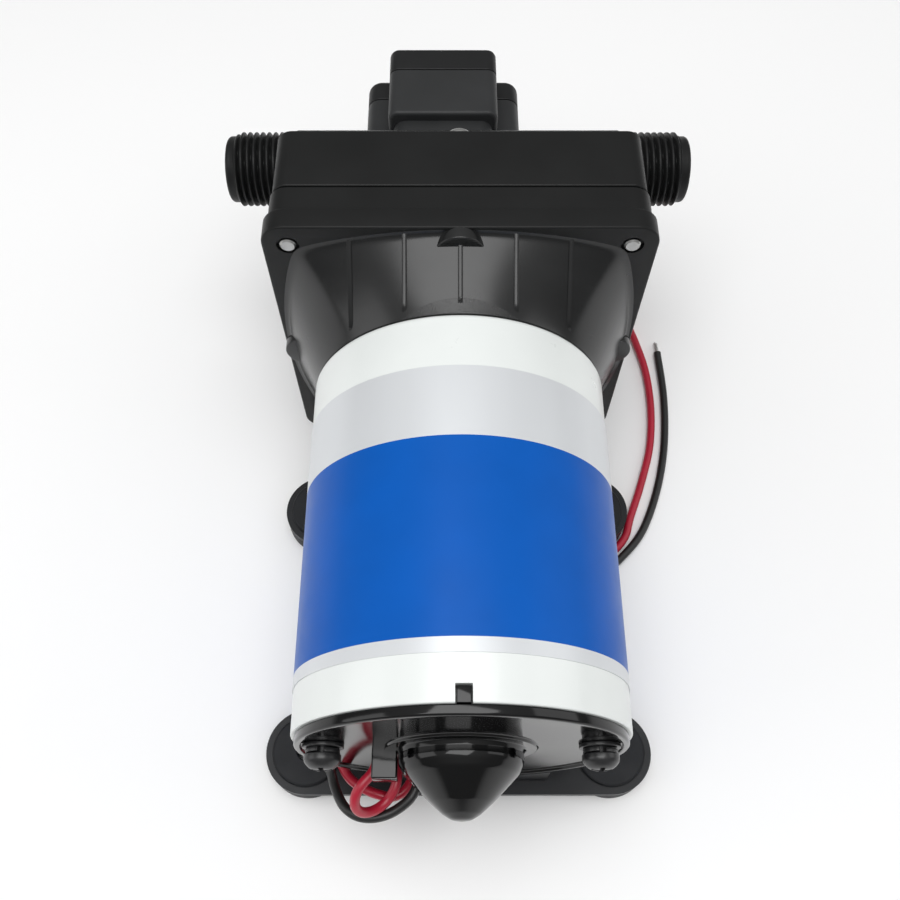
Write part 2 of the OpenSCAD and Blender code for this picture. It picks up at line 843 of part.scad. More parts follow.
module upper_housing() {
  color(black_plastic)
    difference() {
      union() {
        plate(ring_end + 1, head_end)
          round_rect(head_w, head_w, head_r);
        plate(ring_end, ring_end + 1)
          round_rect(head_w - 2.4, head_w - 2.4, head_r - 1);
        manifold();
        at_switch() {
          rod(head_end - 1, switch_y, dome_r);
          lobes(head_end - 1, switch_y);
        }
      }
      head_cavities();
      for (c = concat(corner_at, mid_at))
        rod(ring_end - 1, head_end + 1, screw_d / 2 + 0.2, c[0], c[1]);
      for (c = corner_at)
        rod(corner_seat, head_end + 1, corner_head_r + 0.2, c[0], c[1]);
    }
}

// The cross tube between the ports, carried on a web
module manifold() {
  on_axis()
    translate([-manifold_l / 2, port_axis_y, port_z])
      rotate([0, 90, 0])
        cylinder(h = manifold_l, r = manifold_r);
  block([-manifold_l / 2, head_end - 1, port_z - manifold_r], [manifold_l / 2, port_axis_y, port_z + manifold_r]);
}

// One threaded port, its ridges turned about the port axis
module port_thread(s) {
  ridges = floor((port_span / 2 - nose_plain - manifold_l / 2 - 1) / thread_pitch);
  root_r = thread_r - thread_pitch * 0.6;
  flat = thread_pitch * 0.22;
  start = port_span / 2 - nose_plain - ridges * thread_pitch;
  ridge_points = [for (i = [0:ridges - 1]) each
    [[root_r, start + i * thread_pitch],
     [thread_r, start + (i + 0.5) * thread_pitch - flat / 2],
     [thread_r, start + (i + 0.5) * thread_pitch + flat / 2]]];
  nose_points = [[root_r, start + ridges * thread_pitch], [root_r, port_span / 2 - 1.2],
                 [root_r - 0.4, port_span / 2 - 0.4], [root_r - 1.2, port_span / 2]];
  color(black_plastic)
    on_axis()
      translate([0, port_axis_y, port_z])
        rotate([0, s * 90, 0])
          rotate_extrude()
            polygon(concat([[port_bore / 2, manifold_l / 2], [root_r, manifold_l / 2]], ridge_points,
                           nose_points, [[port_bore / 2, port_span / 2]]));
}

module inlet_port() {
  port_thread(-1);
}

module outlet_port() {
  port_thread(1);
}

// The hollows of the upper housing: seats, suction and delivery galleries and port bores
module head_cavities() {
  rod(ring_end - 1, ring_boss_end + 0.3, boss_face_r + 0.4);
  ring(ring_boss_end, gallery_end, outlet_r + 2.6, boss_face_r - 1);
  rod(ring_boss_end, gallery_end, outlet_r);
  ring(ring_end - 1, ring_end + seal_t + 0.1, boss_face_r + 0.7, boss_face_r + 2);
  rod(gallery_end - 1, port_axis_y, suction_r, -suction_x, port_z);
  rod(gallery_end - 1, port_axis_y, delivery_r, delivery_x, port_z - 4);
  at_switch()
    rod(gallery_end - 1, switch_y + 1, sense_r);
  on_axis()
    translate([0, port_axis_y, port_z]) {
      port_hole(-manifold_l / 2 - 1, -suction_x + suction_r);
      port_hole(delivery_x - delivery_r, manifold_l / 2 + 1);
    }
  at_switch()
    for (s = side_signs)
      rod(switch_y - 9, switch_y + 1, lobe_screw_r + seat_fit, s * lobe_x, 0);
}

// A round water way between two places along X
module port_hole(x0, x1) {
  translate([x0, 0, 0])
    rotate([0, 90, 0])
      cylinder(h = x1 - x0, r = port_bore / 2 + bore_step);
}

module head_screws() {
  color(zinc) {
    for (c = corner_at)
      head_screw(c, corner_seat, flange_y - 0.3, corner_head_r, corner_head_h);
    for (m = mid_at)
      head_screw(m, head_end, flange_y + 0.6, mid_head_r, mid_head_h);
  }
}

// One long screw through the head, from its seat back to its tip
module head_screw(at, seat, tip, head_r, head_h) {
  on_axis()
    translate([at[0], seat, at[1]])
      rotate([-90, 0, 0])
        pan_screw(screw_d / 2, seat - tip, head_r, head_h);
}

// Places its children on the axis of the pressure switch
module at_switch() {
  translate([switch_x, 0, 0])
    children();
}

module switch_diaphragm() {
  color(rubber)
    at_switch()
      rod(switch_y + 0.1, switch_y + 2, 10.4);
}

module switch_body() {
  color(black_plastic)
    at_switch()
      difference() {
        union() {
          plate(switch_y, switch_step)
            round_rect(switch_w - 3, switch_w - 7, 4);
          plate(switch_step, switch_split)
            round_rect(switch_w, switch_w - 1, 3);
          lobes(switch_y, switch_split);
        }
        rod(switch_y - 1, switch_y + 2.2, 10.6);
        rod(switch_y - 1, switch_split + 1, plunger_r + run_fit);
        plate(switch_step + 3, switch_split + 1)
          round_rect(switch_w - 5, switch_w - 6, 2);
        for (s = side_signs)
          rod(switch_y - 1, switch_split + 1, lobe_screw_r + 0.15, s * lobe_x, 0);
        translate([lead_x, lead_foot[1], axis_h - switch_w / 2])
          cylinder(h = 9, r = terminal_r + seat_fit, center = true);
      }
}

// The two rounded side lobes that carry the switch screws, with the bar between them
module lobes(y0, y1) {
  for (s = side_signs)
    rod(y0, y1, lobe_r, s * lobe_x, 0);
  block([-lobe_x, y0, -lobe_r], [lobe_x, y1, lobe_r]);
}

module switch_cap() {
  color(black_plastic)
    at_switch()
      difference() {
        union() {
          plate(switch_split, switch_end - 1)
            round_rect(switch_w, switch_w - 1, 3);
          plate(switch_end - 1, switch_end)
            round_rect(switch_w - 2, switch_w - 3, 3);
          lobes(switch_split, lobe_end);
        }
        plate(switch_split - 1, switch_end - 2.5)
          round_rect(switch_w - 5, switch_w - 6, 2);
        rod(switch_split, switch_end + 1, adjuster_r + run_fit);
        for (s = side_signs) {
          rod(switch_split - 1, switch_end + 1, lobe_screw_r + 0.15, s * lobe_x, 0);
          rod(lobe_seat, switch_end + 1, lobe_head_r + 0.2, s * lobe_x, 0);
        }
      }
}

module switch_plunger() {
  flange_front = switch_step + 7;
  color([0.85, 0.83, 0.75])
    at_switch() {
      rod(switch_y + 2.3, flange_front - 1.5, plunger_r);
      rod(flange_front - 1.6, flange_front, plunger_r + 2.4);
      block([-2, flange_front - 1.6, 0], [2, flange_front, button_z + 1.6]);
      rod(flange_front - 1, flange_front + 3, 2.2);
    }
}

module switch_spring() {
  spring_y = switch_step + 7.1;
  color(steel)
    at_switch()
      on_axis()
        translate([0, spring_y, 0])
          rotate([-90, 0, 0])
            coil_spring(switch_split - 1.6 - spring_y, 3.4, 0.5, 4);
}

module micro_switch() {
  low_y = switch_step + 7 + plunger_travel + 0.4;
  color([0.12, 0.12, 0.13])
    at_switch()
      difference() {
        block([-9, low_y, button_z - 2.6], [9, switch_split - 0.6, switch_w / 2 - 3 - seat_fit]);
        rod(low_y - 1, low_y + 4, 1.2, 0, button_z);
      }
}

module micro_switch_button() {
  color([0.75, 0.15, 0.12])
    at_switch()
      rod(switch_step + 7.06, switch_step + 7 + plunger_travel + 2.4, 1, 0, button_z);
}

module adjuster_screw() {
  color(brass)
    at_switch()
      difference() {
        union() {
          rod(switch_split - 1.5, switch_end - 2.8, 5);
          rod(switch_end - 3, switch_end + 0.6, adjuster_r);
        }
        rod(switch_end - 2, switch_end + 1, 1.3, $fn = 6);
      }
}

module switch_screws() {
  color(zinc)
    at_switch()
      for (s = side_signs)
        on_axis()
          translate([s * lobe_x, lobe_seat, 0])
            rotate([-90, 0, 0])
              pan_screw(lobe_screw_r, lobe_seat - switch_y + 7, lobe_head_r, 1.9);
}

module switch_terminal() {
  color(brass)
    difference() {
      translate([lead_foot[0], lead_foot[1], axis_h - switch_w / 2 - 1.5])
        cylinder(h = 5, r = terminal_r);
      translate([lead_foot[0], lead_foot[1], axis_h - switch_w / 2 - 2])
        cylinder(h = 3.5, r = wire_d / 2 + seat_fit);
    }
}

module crossbar(s) {
  bar_z = foot_h - 1.4 - bar_t;
  bar_y = s * foot_pitch_y / 2;
  saddle_w = 46;
  saddle_t = 15;
  neck_r = foot_d / 4;
  color([0.12, 0.12, 0.12])
    difference() {
      union() {
        translate([-foot_pitch_x / 2, bar_y - foot_d / 2, bar_z])
          cube([foot_pitch_x, foot_d, bar_t]);
        for (x = [-foot_pitch_x / 2, foot_pitch_x / 2])
          translate([x, bar_y, bar_z])
            cylinder(h = bar_t, d = foot_d);
        translate([-saddle_w / 2, bar_y - saddle_t / 2, bar_z])
          cube([saddle_w, saddle_t, axis_h - can_r * 0.8 - bar_z]);
      }
      rod(-10, can_l + 10, can_r + 0.05);
      for (x = [-foot_pitch_x / 2, foot_pitch_x / 2])
        translate([x, bar_y, bar_z - 1])
          cylinder(h = bar_t + 2, r = neck_r + 0.05);
    }
}

module rear_crossbar() {
  crossbar(-1);
}

module front_crossbar() {
  crossbar(1);
}

// One rubber foot, gripping the crossbar in its groove
module foot(sx, sy) {
  bar_z = foot_h - 1.4 - bar_t;
  neck_r = foot_d / 4;
  color(rubber)
    translate([sx * foot_pitch_x / 2, sy * foot_pitch_y / 2, 0])
      rotate_extrude()
        polygon([[foot_hole_d / 2, 0], [foot_d / 2 - 0.6, 0], [foot_d / 2, 0.8], [foot_d / 2, bar_z - 0.02],
                 [neck_r, bar_z - 0.02], [neck_r, bar_z + bar_t + 0.02], [foot_d * 0.42, bar_z + bar_t + 0.02],
                 [foot_d * 0.42, foot_h - 0.5], [foot_d * 0.42 - 0.5, foot_h], [foot_hole_d / 2, foot_h]]);
}

module foot_rear_left() {
  foot(-1, -1);
}

module foot_rear_right() {
  foot(1, -1);
}

module foot_front_left() {
  foot(-1, 1);
}

module foot_front_right() {
  foot(1, 1);
}

module red_lead() {
  color([0.65, 0.12, 0.2])
    tube(smooth(red_route, 2), wire_d / 2);
}

module red_jumper() {
  color([0.65, 0.12, 0.2])
    tube(smooth(jumper_route, 2), wire_d / 2);
}

module black_lead() {
  color(rubber)
    tube(smooth(black_route, 2), wire_d / 2);
}

module black_lead_end() {
  color(zinc)
    tube(smooth(black_end_route, 2), strand_d / 2);
}

motor_can();
label_band();
rear_cap();
wire_bush();
through_bolts();
bolt_washers();
rear_bush();
brush_card();
brush_boxes();
brush_left();
brush_right();
brush_spring_left();
brush_spring_right();
magnets();
motor_shaft();
armature_core();
armature_winding();
commutator();
front_bearing_outer();
front_bearing_inner();
bearing_balls();
lower_housing();
drive_cam();
cam_bearing();
wobble_plate();
piston_caps();
piston_screws();
diaphragm();
valve_ring();
inlet_valves();
outlet_valve();
head_seal();
upper_housing();
inlet_port();
outlet_port();
head_screws();
switch_diaphragm();
switch_body();
switch_cap();
switch_plunger();
switch_spring();
micro_switch();
micro_switch_button();
adjuster_screw();
switch_screws();
switch_terminal();
rear_crossbar();
front_crossbar();
foot_rear_left();
foot_rear_right();
foot_front_left();
foot_front_right();
red_lead();
red_jumper();
black_lead();
black_lead_end();
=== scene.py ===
import math

import bmesh
import bpy
from mathutils import Matrix, Vector


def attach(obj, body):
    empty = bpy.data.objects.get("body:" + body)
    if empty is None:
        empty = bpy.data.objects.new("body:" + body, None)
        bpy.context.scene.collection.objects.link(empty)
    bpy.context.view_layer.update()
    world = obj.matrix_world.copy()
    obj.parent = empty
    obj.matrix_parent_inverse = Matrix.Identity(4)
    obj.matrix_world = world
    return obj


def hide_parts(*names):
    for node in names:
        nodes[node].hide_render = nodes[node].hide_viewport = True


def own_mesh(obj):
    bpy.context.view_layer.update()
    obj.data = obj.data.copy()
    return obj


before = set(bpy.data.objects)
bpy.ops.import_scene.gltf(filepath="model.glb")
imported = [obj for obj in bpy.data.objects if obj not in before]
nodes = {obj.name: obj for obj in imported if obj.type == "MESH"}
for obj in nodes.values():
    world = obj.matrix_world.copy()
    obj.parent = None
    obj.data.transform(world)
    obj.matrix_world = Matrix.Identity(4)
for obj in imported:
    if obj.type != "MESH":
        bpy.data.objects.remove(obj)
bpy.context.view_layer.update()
scene = bpy.context.scene

# Sizes of pieces are in millimetres. The camera, the lights, the floor and the surface grain are in metres.
# Y is given from the can's rear rim and Z from the motor axis wherever a piece is turned or stacked on it.
# Boxes are given as width, height and corner radius, spots as X and Z, and the ports' axis as Y and Z.
MM = 0.001
REAR_Y = -40.7
AXIS_Z = 52.0

# Motor
CAN_R = 38.0
CAN_L = 90.0
CAN_WALL = 2.0
CAP_FACE = -1.5
NOTCH_W = 3.4
NOTCH_L = 3.7
BEARING_R = 11.02
BOLT_R = 2.0
BOLT_HOLE_R = 2.3
BOLT_L = 101.1
BOLT_SPOTS = {"left": (-30.4, 4.0), "right": (30.4, 4.0)}
BRUSH_Y = 14.5
BRUSH_SEAT_X = 25.1
WIRE_R = 1.2
LABEL_BANDS = ((9.7, 12.8), (12.8, 57.5), (57.5, 75.4))
LABEL_SPAN = 270.0

# Pump head, in order from the can to the switch
THROAT_L = 17.2
THROAT_R = CAN_R - 0.4
THROAT_HALF = 45.8
THROAT_CURVE = 1.15
FACE_BOW_R = 125.0
WEB_END = 97.6
CAVITY_R = 37.15
FLANGE_W = 95.0
FLANGE_Y = CAN_L + THROAT_L
FLANGE_END = 113.2
DIAPHRAGM_Y = 110.7
DIAPHRAGM_R = 38.55
PISTON_AT = 16.634
PLATE_TILT = 4.5
RING_END = 120.6
HEAD_W = 92.0
HEAD_END = 140.2
SCREW_AT = 41.15
SCREW_R = 2.0
SCREW_SEAT = 2.6
CORNERS = [(-SCREW_AT, -SCREW_AT), (SCREW_AT, -SCREW_AT), (-SCREW_AT, SCREW_AT), (SCREW_AT, SCREW_AT)]
MIDS = [(0, SCREW_AT), (0, -SCREW_AT), (SCREW_AT, 0), (-SCREW_AT, 0)]
RIB_PITCH = 13.2
PORT_AXIS = (157.0, 15.0)
PORT_TIP = 65.1
PORT_BORE_R = 6.5
THREAD_R = 10.2
THREAD_PITCH = 1.814
THREAD_TURNS = 8
NOSE_L = 3.2
WATER_WAY_END = 22.0

# Pressure switch
SWITCH_X = -4.2
SWITCH_Y = 168.2
SWITCH_STEP = 178.6
SWITCH_SPLIT = 197.1
SWITCH_END = 206.7
SWITCH_SPRING_Y = 195.5
SWITCH_BOX = (33.0, 32.0, 3.0)
SWITCH_ROOM = (28.0, 27.0, 2.0)
SWITCH_BAR = (48.0, 9.0, 4.4)
LID_SEAM = 0.3
LOBES = [(SWITCH_X - 19.5, 0.0), (SWITCH_X + 19.5, 0.0)]
LOBE_HOLE_R = 1.65
LOBE_HEAD_R = 2.7


# Camera

def make_camera():
    """The photograph's view, from above and behind the motor."""
    data = bpy.data.cameras.new("camera")
    data.sensor_width = 36.0
    data.lens = 37.6
    data.shift_x = 0.0057
    data.clip_start = 0.01
    data.clip_end = 20.0
    camera = bpy.data.objects.new("camera", data)
    scene.collection.objects.link(camera)
    camera.location = (-0.00365, -0.08094, 0.26906)
    camera.rotation_euler = (math.radians(90.0 - 62.304), 0.0, 0.0)
    scene.camera = camera


make_camera()


# Materials

def new_material(name):
    material = bpy.data.materials.new(name)
    material.use_nodes = True
    tree = material.node_tree
    return material, tree, tree.nodes["Principled BSDF"]


def node(tree, kind, **values):
    """A shader node with its inputs or settings filled in by name."""
    made = tree.nodes.new(kind)
    for key, value in values.items():
        if key in made.inputs:
            made.inputs[key].default_value = value
        else:
            setattr(made, key, value)
    return made


def noise(tree, scale, detail=4.0, stretch=(1.0, 1.0, 1.0)):
    """A noise pattern fixed to the piece. A small stretch value draws it out along that axis."""
    where = node(tree, "ShaderNodeTexCoord")
    mapping = node(tree, "ShaderNodeMapping")
    mapping.inputs["Scale"].default_value = stretch
    made = node(tree, "ShaderNodeTexNoise", Scale=scale, Detail=detail)
    tree.links.new(where.outputs["Object"], mapping.inputs["Vector"])
    tree.links.new(mapping.outputs["Vector"], made.inputs["Vector"])
    return made.outputs["Fac"]


def maths(tree, operation, *terms):
    """One sum. Each term is a number or another node's output."""
    made = node(tree, "ShaderNodeMath", operation=operation)
    for entry, term in zip(made.inputs, terms):
        if isinstance(term, float):
            entry.default_value = term
        else:
            tree.links.new(term, entry)
    return made.outputs["Value"]


def ramp(tree, source, stops):
    """A colour that runs through the stops as the source rises."""
    made = node(tree, "ShaderNodeValToRGB")
    elements = made.color_ramp.elements
    while len(elements) < len(stops):
        elements.new(0.5)
    for element, (place, colour) in zip(elements, stops):
        element.position = place
        element.color = (*colour, 1.0)
    tree.links.new(source, made.inputs["Fac"])
    return made.outputs["Color"]


def spread(tree, source, low, high):
    """A value from 0 to 1 laid out between two others."""
    made = node(tree, "ShaderNodeMapRange")
    made.inputs["To Min"].default_value = low
    made.inputs["To Max"].default_value = high
    tree.links.new(source, made.inputs["Value"])
    return made.outputs["Result"]


def bump(tree, shader, source, strength, distance, under=None):
    """A relief on the shader, on top of another one where given."""
    made = node(tree, "ShaderNodeBump", Strength=strength, Distance=distance)
    tree.links.new(source, made.inputs["Height"])
    if under is not None:
        tree.links.new(under, made.inputs["Normal"])
    tree.links.new(made.outputs["Normal"], shader.inputs["Normal"])
    return made.outputs["Normal"]


def shade(colour, factor):
    return tuple(min(1.0, c * factor) for c in colour)


def finish_material(name, colour, rough, vary=0.15, metal=0.0, specular=0.5, coat=0.0,
                    grain=900.0, grain_depth=0.00002, cloud=60.0, stretch=(1.0, 1.0, 1.0)):
    """A material with a cloudy colour, uneven gloss and a fine surface grain."""
    material, tree, shader = new_material(name)
    soft = noise(tree, cloud, 3.0, stretch)
    fine = noise(tree, grain, 3.0, stretch)
    tint = ramp(tree, soft, [(0.3, shade(colour, 1.0 - vary)), (0.7, shade(colour, 1.0 + vary))])
    tree.links.new(tint, shader.inputs["Base Color"])
    gloss = spread(tree, noise(tree, cloud * 2.5, 4.0, stretch), rough * 0.8, min(1.0, rough * 1.2))
    tree.links.new(gloss, shader.inputs["Roughness"])
    bump(tree, shader, fine, 0.35, grain_depth)
    shader.inputs["Metallic"].default_value = metal
    shader.inputs["Specular IOR Level"].default_value = specular
    shader.inputs["Coat Weight"].default_value = coat
    shader.inputs["Coat Roughness"].default_value = 0.08
    return material


PAINT = finish_material("white_paint", (0.78, 0.81, 0.795), 0.3, vary=0.015, coat=0.2, grain=700.0,
                        grain_depth=0.000012)
SILVER = finish_material("label_silver", (0.68, 0.70, 0.72), 0.38, vary=0.03, metal=0.25, grain=1600.0,
                         grain_depth=0.000006, stretch=(1.0, 0.12, 1.0))
BLUE = finish_material("label_blue", (0.002, 0.095, 0.44), 0.35, vary=0.05, specular=0.12, grain=1200.0,
                       grain_depth=0.000006)
GLOSS_BLACK = finish_material("gloss_black", (0.0012, 0.0013, 0.0015), 0.11, vary=0.2, specular=0.42,
                              grain=500.0, grain_depth=0.000004)
BLACK_PLASTIC = finish_material("black_plastic", (0.0075, 0.0078, 0.0078), 0.42, vary=0.18, specular=0.22,
                                grain=2600.0, grain_depth=0.00003)
SWITCH_PLASTIC = finish_material("switch_plastic", (0.009, 0.0094, 0.0098), 0.45, vary=0.18, specular=0.26,
                                 grain=2400.0, grain_depth=0.00003)
CASE_PLASTIC = finish_material("case_plastic", (0.025, 0.026, 0.027), 0.45, vary=0.12, specular=0.26,
                               grain=2400.0, grain_depth=0.00003)
PALE_PLASTIC = finish_material("pale_plastic", (0.70, 0.68, 0.60), 0.45, vary=0.05, grain=1500.0)
BUTTON_RED = finish_material("button_red", (0.50, 0.03, 0.025), 0.3, vary=0.08)
PHENOLIC = finish_material("phenolic", (0.20, 0.10, 0.045), 0.5, vary=0.25, grain=1400.0,
                           stretch=(1.0, 1.0, 0.2))
RUBBER = finish_material("rubber", (0.016, 0.016, 0.016), 0.62, vary=0.2, specular=0.35, grain=1800.0,
                         grain_depth=0.00004)
FOOT_RUBBER = finish_material("foot_rubber", (0.008, 0.0088, 0.0108), 0.58, vary=0.22, specular=0.3,
                              grain=1500.0, grain_depth=0.00005)
VALVE_RUBBER = finish_material("valve_rubber", (0.45, 0.11, 0.05), 0.5, vary=0.08)
BLACK_STEEL = finish_material("black_steel", (0.018, 0.018, 0.019), 0.3, vary=0.25, specular=0.5,
                              grain=1600.0, grain_depth=0.00002)
BAR_COAT = finish_material("bar_coat", (0.008, 0.0088, 0.0108), 0.44, vary=0.2, specular=0.3, grain=1900.0,
                           grain_depth=0.00004)
ZINC = finish_material("zinc", (0.46, 0.46, 0.45), 0.3, vary=0.12, metal=1.0, grain=1500.0,
                       grain_depth=0.00003, cloud=260.0)
STEEL = finish_material("steel", (0.52, 0.53, 0.54), 0.3, vary=0.1, metal=1.0, grain=1400.0,
                        stretch=(1.0, 0.1, 1.0))
SPRING_STEEL = finish_material("spring_steel", (0.45, 0.45, 0.47), 0.26, vary=0.1, metal=1.0)
BRONZE = finish_material("bronze", (0.50, 0.30, 0.13), 0.42, vary=0.15, metal=1.0, grain=2200.0)
BRASS = finish_material("brass", (0.68, 0.49, 0.20), 0.28, vary=0.1, metal=1.0)
COPPER = finish_material("copper", (0.62, 0.27, 0.11), 0.32, vary=0.15, metal=1.0, grain=900.0,
                         stretch=(1.0, 0.15, 1.0))
CARBON = finish_material("carbon", (0.03, 0.03, 0.032), 0.6, vary=0.25, grain=2600.0)
FERRITE = finish_material("ferrite", (0.07, 0.07, 0.075), 0.5, vary=0.2, grain=1700.0)
RED_WIRE = finish_material("red_wire", (0.42, 0.012, 0.034), 0.34, vary=0.08, grain=1300.0,
                           grain_depth=0.000015)
BLACK_WIRE = finish_material("black_wire", (0.012, 0.012, 0.012), 0.36, vary=0.15, grain=1300.0,
                             grain_depth=0.000015)
STRAND = finish_material("tinned_strand", (0.62, 0.62, 0.61), 0.3, vary=0.1, metal=1.0)


def throat_material():
    """Satin moulding with faint flow streaks, and a stippled crescent where the throat meets the can."""
    material, tree, shader = new_material("throat_plastic")
    soft = noise(tree, 70.0, 3.0, (1.0, 2.5, 1.0))
    tint = ramp(tree, soft, [(0.3, (0.006, 0.0063, 0.0065)), (0.7, (0.009, 0.0094, 0.0096))])
    tree.links.new(tint, shader.inputs["Base Color"])
    curve, tip_y, low_z = 17.0, (REAR_Y + 93.4) * MM, 0.07
    where = node(tree, "ShaderNodeTexCoord")
    axes = node(tree, "ShaderNodeSeparateXYZ")
    tree.links.new(where.outputs["Object"], axes.inputs["Vector"])
    x, y, z = (axes.outputs[axis] for axis in "XYZ")
    edge = maths(tree, "MULTIPLY_ADD", maths(tree, "MULTIPLY", x, x), curve, y)
    crescent = maths(tree, "LESS_THAN", edge, tip_y)
    patch = maths(tree, "MULTIPLY", crescent, maths(tree, "GREATER_THAN", z, low_z))
    cells = node(tree, "ShaderNodeTexVoronoi", Scale=2600.0)
    tree.links.new(where.outputs["Object"], cells.inputs["Vector"])
    stipple = maths(tree, "MULTIPLY", cells.outputs["Distance"], patch)
    streaks = bump(tree, shader, noise(tree, 500.0, 3.0, (0.15, 1.0, 1.0)), 0.25, 0.00003)
    bump(tree, shader, stipple, 0.5, 0.00013, streaks)
    rough = spread(tree, noise(tree, 130.0, 4.0), 0.22, 0.3)
    tree.links.new(rough, shader.inputs["Roughness"])
    shader.inputs["Specular IOR Level"].default_value = 0.5
    return material


THROAT = throat_material()


# Mesh helpers

def from_axis(x, y, z):
    """A place given from the can's rear rim and the motor axis, in metres of the row frame."""
    return (x * MM, (y + REAR_Y) * MM, (z + AXIS_Z) * MM)


def piece(name, verts, faces, material, body, replaced=(), angle=32.0):
    """A new mesh object on a body. Edges sharper than angle stay sharp."""
    mesh = bpy.data.meshes.new(name)
    mesh.from_pydata(verts, [], faces)
    made = bpy.data.objects.new(name, mesh)
    scene.collection.objects.link(made)
    tidy(mesh, angle)
    for entry in material if isinstance(material, (list, tuple)) else [material]:
        mesh.materials.append(entry)
    settle(made, body, replaced)
    return made


def settle(made, body, replaced=()):
    """Puts a piece on its body, and hides the CAD nodes that it stands for."""
    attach(made, body)
    if replaced:
        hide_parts(*replaced)


def tidy(mesh, angle):
    """Merges doubled points, turns faces outward and sets the shading."""
    build = bmesh.new()
    build.from_mesh(mesh)
    bmesh.ops.remove_doubles(build, verts=build.verts, dist=1e-7)
    bmesh.ops.recalc_face_normals(build, faces=build.faces)
    build.to_mesh(mesh)
    build.free()
    smooth(mesh, angle)


def smooth(mesh, angle):
    mesh.polygons.foreach_set("use_smooth", [True] * len(mesh.polygons))
    mesh.set_sharp_from_angle(angle=math.radians(angle))


def carve(made, cutters, angle=32.0):
    """Cuts closed shells out of a piece and drops them."""
    mesh = bpy.data.meshes.new("cutter")
    verts, faces = joined(*cutters)
    mesh.from_pydata(verts, [], faces)
    tidy(mesh, angle)
    tool = bpy.data.objects.new("cutter", mesh)
    scene.collection.objects.link(tool)
    change = made.modifiers.new("carve", "BOOLEAN")
    change.operation = "DIFFERENCE"
    change.solver = "EXACT"
    change.use_self = True
    change.object = tool
    bpy.context.view_layer.update()
    result = bpy.data.meshes.new_from_object(made.evaluated_get(bpy.context.evaluated_depsgraph_get()))
    made.modifiers.remove(change)
    old = made.data
    result.name = old.name + "_carved"
    made.data = result
    bpy.data.objects.remove(tool)
    bpy.data.meshes.remove(old)
    smooth(result, angle)


def cut_shell(shell, cutters):
    """A shell with others cut out of it, as points and faces."""
    mesh = bpy.data.meshes.new("blank")
    mesh.from_pydata(shell[0], [], shell[1])
    tidy(mesh, 32.0)
    blank = bpy.data.objects.new("blank", mesh)
    scene.collection.objects.link(blank)
    carve(blank, cutters)
    mesh = blank.data
    out = [v.co.copy() for v in mesh.vertices], [tuple(f.vertices) for f in mesh.polygons]
    bpy.data.objects.remove(blank)
    bpy.data.meshes.remove(mesh)
    return out


def joined(*shells):
    """Several shells as one list of points and one of faces."""
    verts, faces = [], []
    for shell_verts, shell_faces in shells:
        base = len(verts)
        verts += shell_verts
        faces += [tuple(i + base for i in face) for face in shell_faces]
    return verts, faces


def loops_shell(loops, ring=False):
    """A skin over equal loops of points, closed by end caps or by joining the last loop to the first."""
    count = len(loops[0])
    verts = [p for loop in loops for p in loop]
    faces = []
    rows = len(loops)
    for i in range(rows if ring else rows - 1):
        a, b = i * count, ((i + 1) % rows) * count
        for k in range(count):
            n = (k + 1) % count
            faces.append((a + k, a + n, b + n, b + k))
    if not ring:
        faces.append(tuple(range(count - 1, -1, -1)))
        faces.append(tuple(range((rows - 1) * count, rows * count)))
    return verts, faces


def fillet(points, radii, steps=5):
    """An outline with its corners rounded. radii is one number or one for each corner."""
    count = len(points)
    out = []
    for i, point in enumerate(points):
        r = radii[i] if isinstance(radii, (list, tuple)) else radii
        p = Vector(point)
        before, after = Vector(points[i - 1]) - p, Vector(points[(i + 1) % count]) - p
        if r <= 0 or before.length < 1e-9 or after.length < 1e-9:
            out.append(tuple(p))
            continue
        u, v = before.normalized(), after.normalized()
        half = math.acos(max(-1.0, min(1.0, u.dot(v)))) / 2
        if half > math.radians(89) or half < math.radians(2):
            out.append(tuple(p))
            continue
        reach = min(r / math.tan(half), before.length * 0.49, after.length * 0.49)
        r = reach * math.tan(half)
        centre = p + (u + v).normalized() * (r / math.sin(half))
        start, end = p + u * reach - centre, p + v * reach - centre
        turn = math.atan2(start.x * end.y - start.y * end.x, start.dot(end))
        for k in range(steps + 1):
            a = turn * k / steps
            c, s = math.cos(a), math.sin(a)
            out.append((centre.x + start.x * c - start.y * s, centre.y + start.x * s + start.y * c))
    return out


def turned(outline, count=192, at=(0.0, 0.0), start=0.0, span=360.0):
    """A closed outline of (radius, y) turned about the motor axis, or about a line beside it."""
    whole = span >= 360.0
    steps = count if whole else count + 1
    loops = []
    for i in range(steps):
        a = math.radians(start + span * i / count)
        loops.append([from_axis(at[0] + r * math.sin(a), y, at[1] + r * math.cos(a)) for r, y in outline])
    return loops_shell(loops, ring=whole)


def rod(at, y0, y1, r, count=48):
    """A closed round bar along the motor's direction."""
    return turned([(0.0, y0), (r, y0), (r, y1), (0.0, y1)], count, at)


def circle(count):
    """Cosine and sine at even steps round a circle."""
    return [(math.cos(math.tau * k / count), math.sin(math.tau * k / count)) for k in range(count)]


def round_rect(w, h, r, steps=8):
    """A rectangle about its middle, with round corners."""
    pts = [(w / 2, h / 2), (-w / 2, h / 2), (-w / 2, -h / 2), (w / 2, -h / 2)]
    return fillet(pts, r, steps)


def slab(w, h, r, y0, y1, rear=0.4, front=0.4, steps=5, corner=8, middle=0.0):
    """A plate with round corners, and its rear and front edges rounded."""
    loops = []

    def loop(inset, y):
        pts = round_rect(w - 2 * inset, h - 2 * inset, max(r - inset, 0.2), corner)
        loops.append([from_axis(x + middle, y, z) for x, z in pts])

    for k in range(steps + 1):
        a = math.pi / 2 * k / steps
        loop(rear * (1 - math.sin(a)), y0 + rear * (1 - math.cos(a)))
    for k in range(steps + 1):
        a = math.pi / 2 * k / steps
        loop(front * (1 - math.cos(a)), y1 - front * (1 - math.sin(a)))
    return loops_shell(loops)


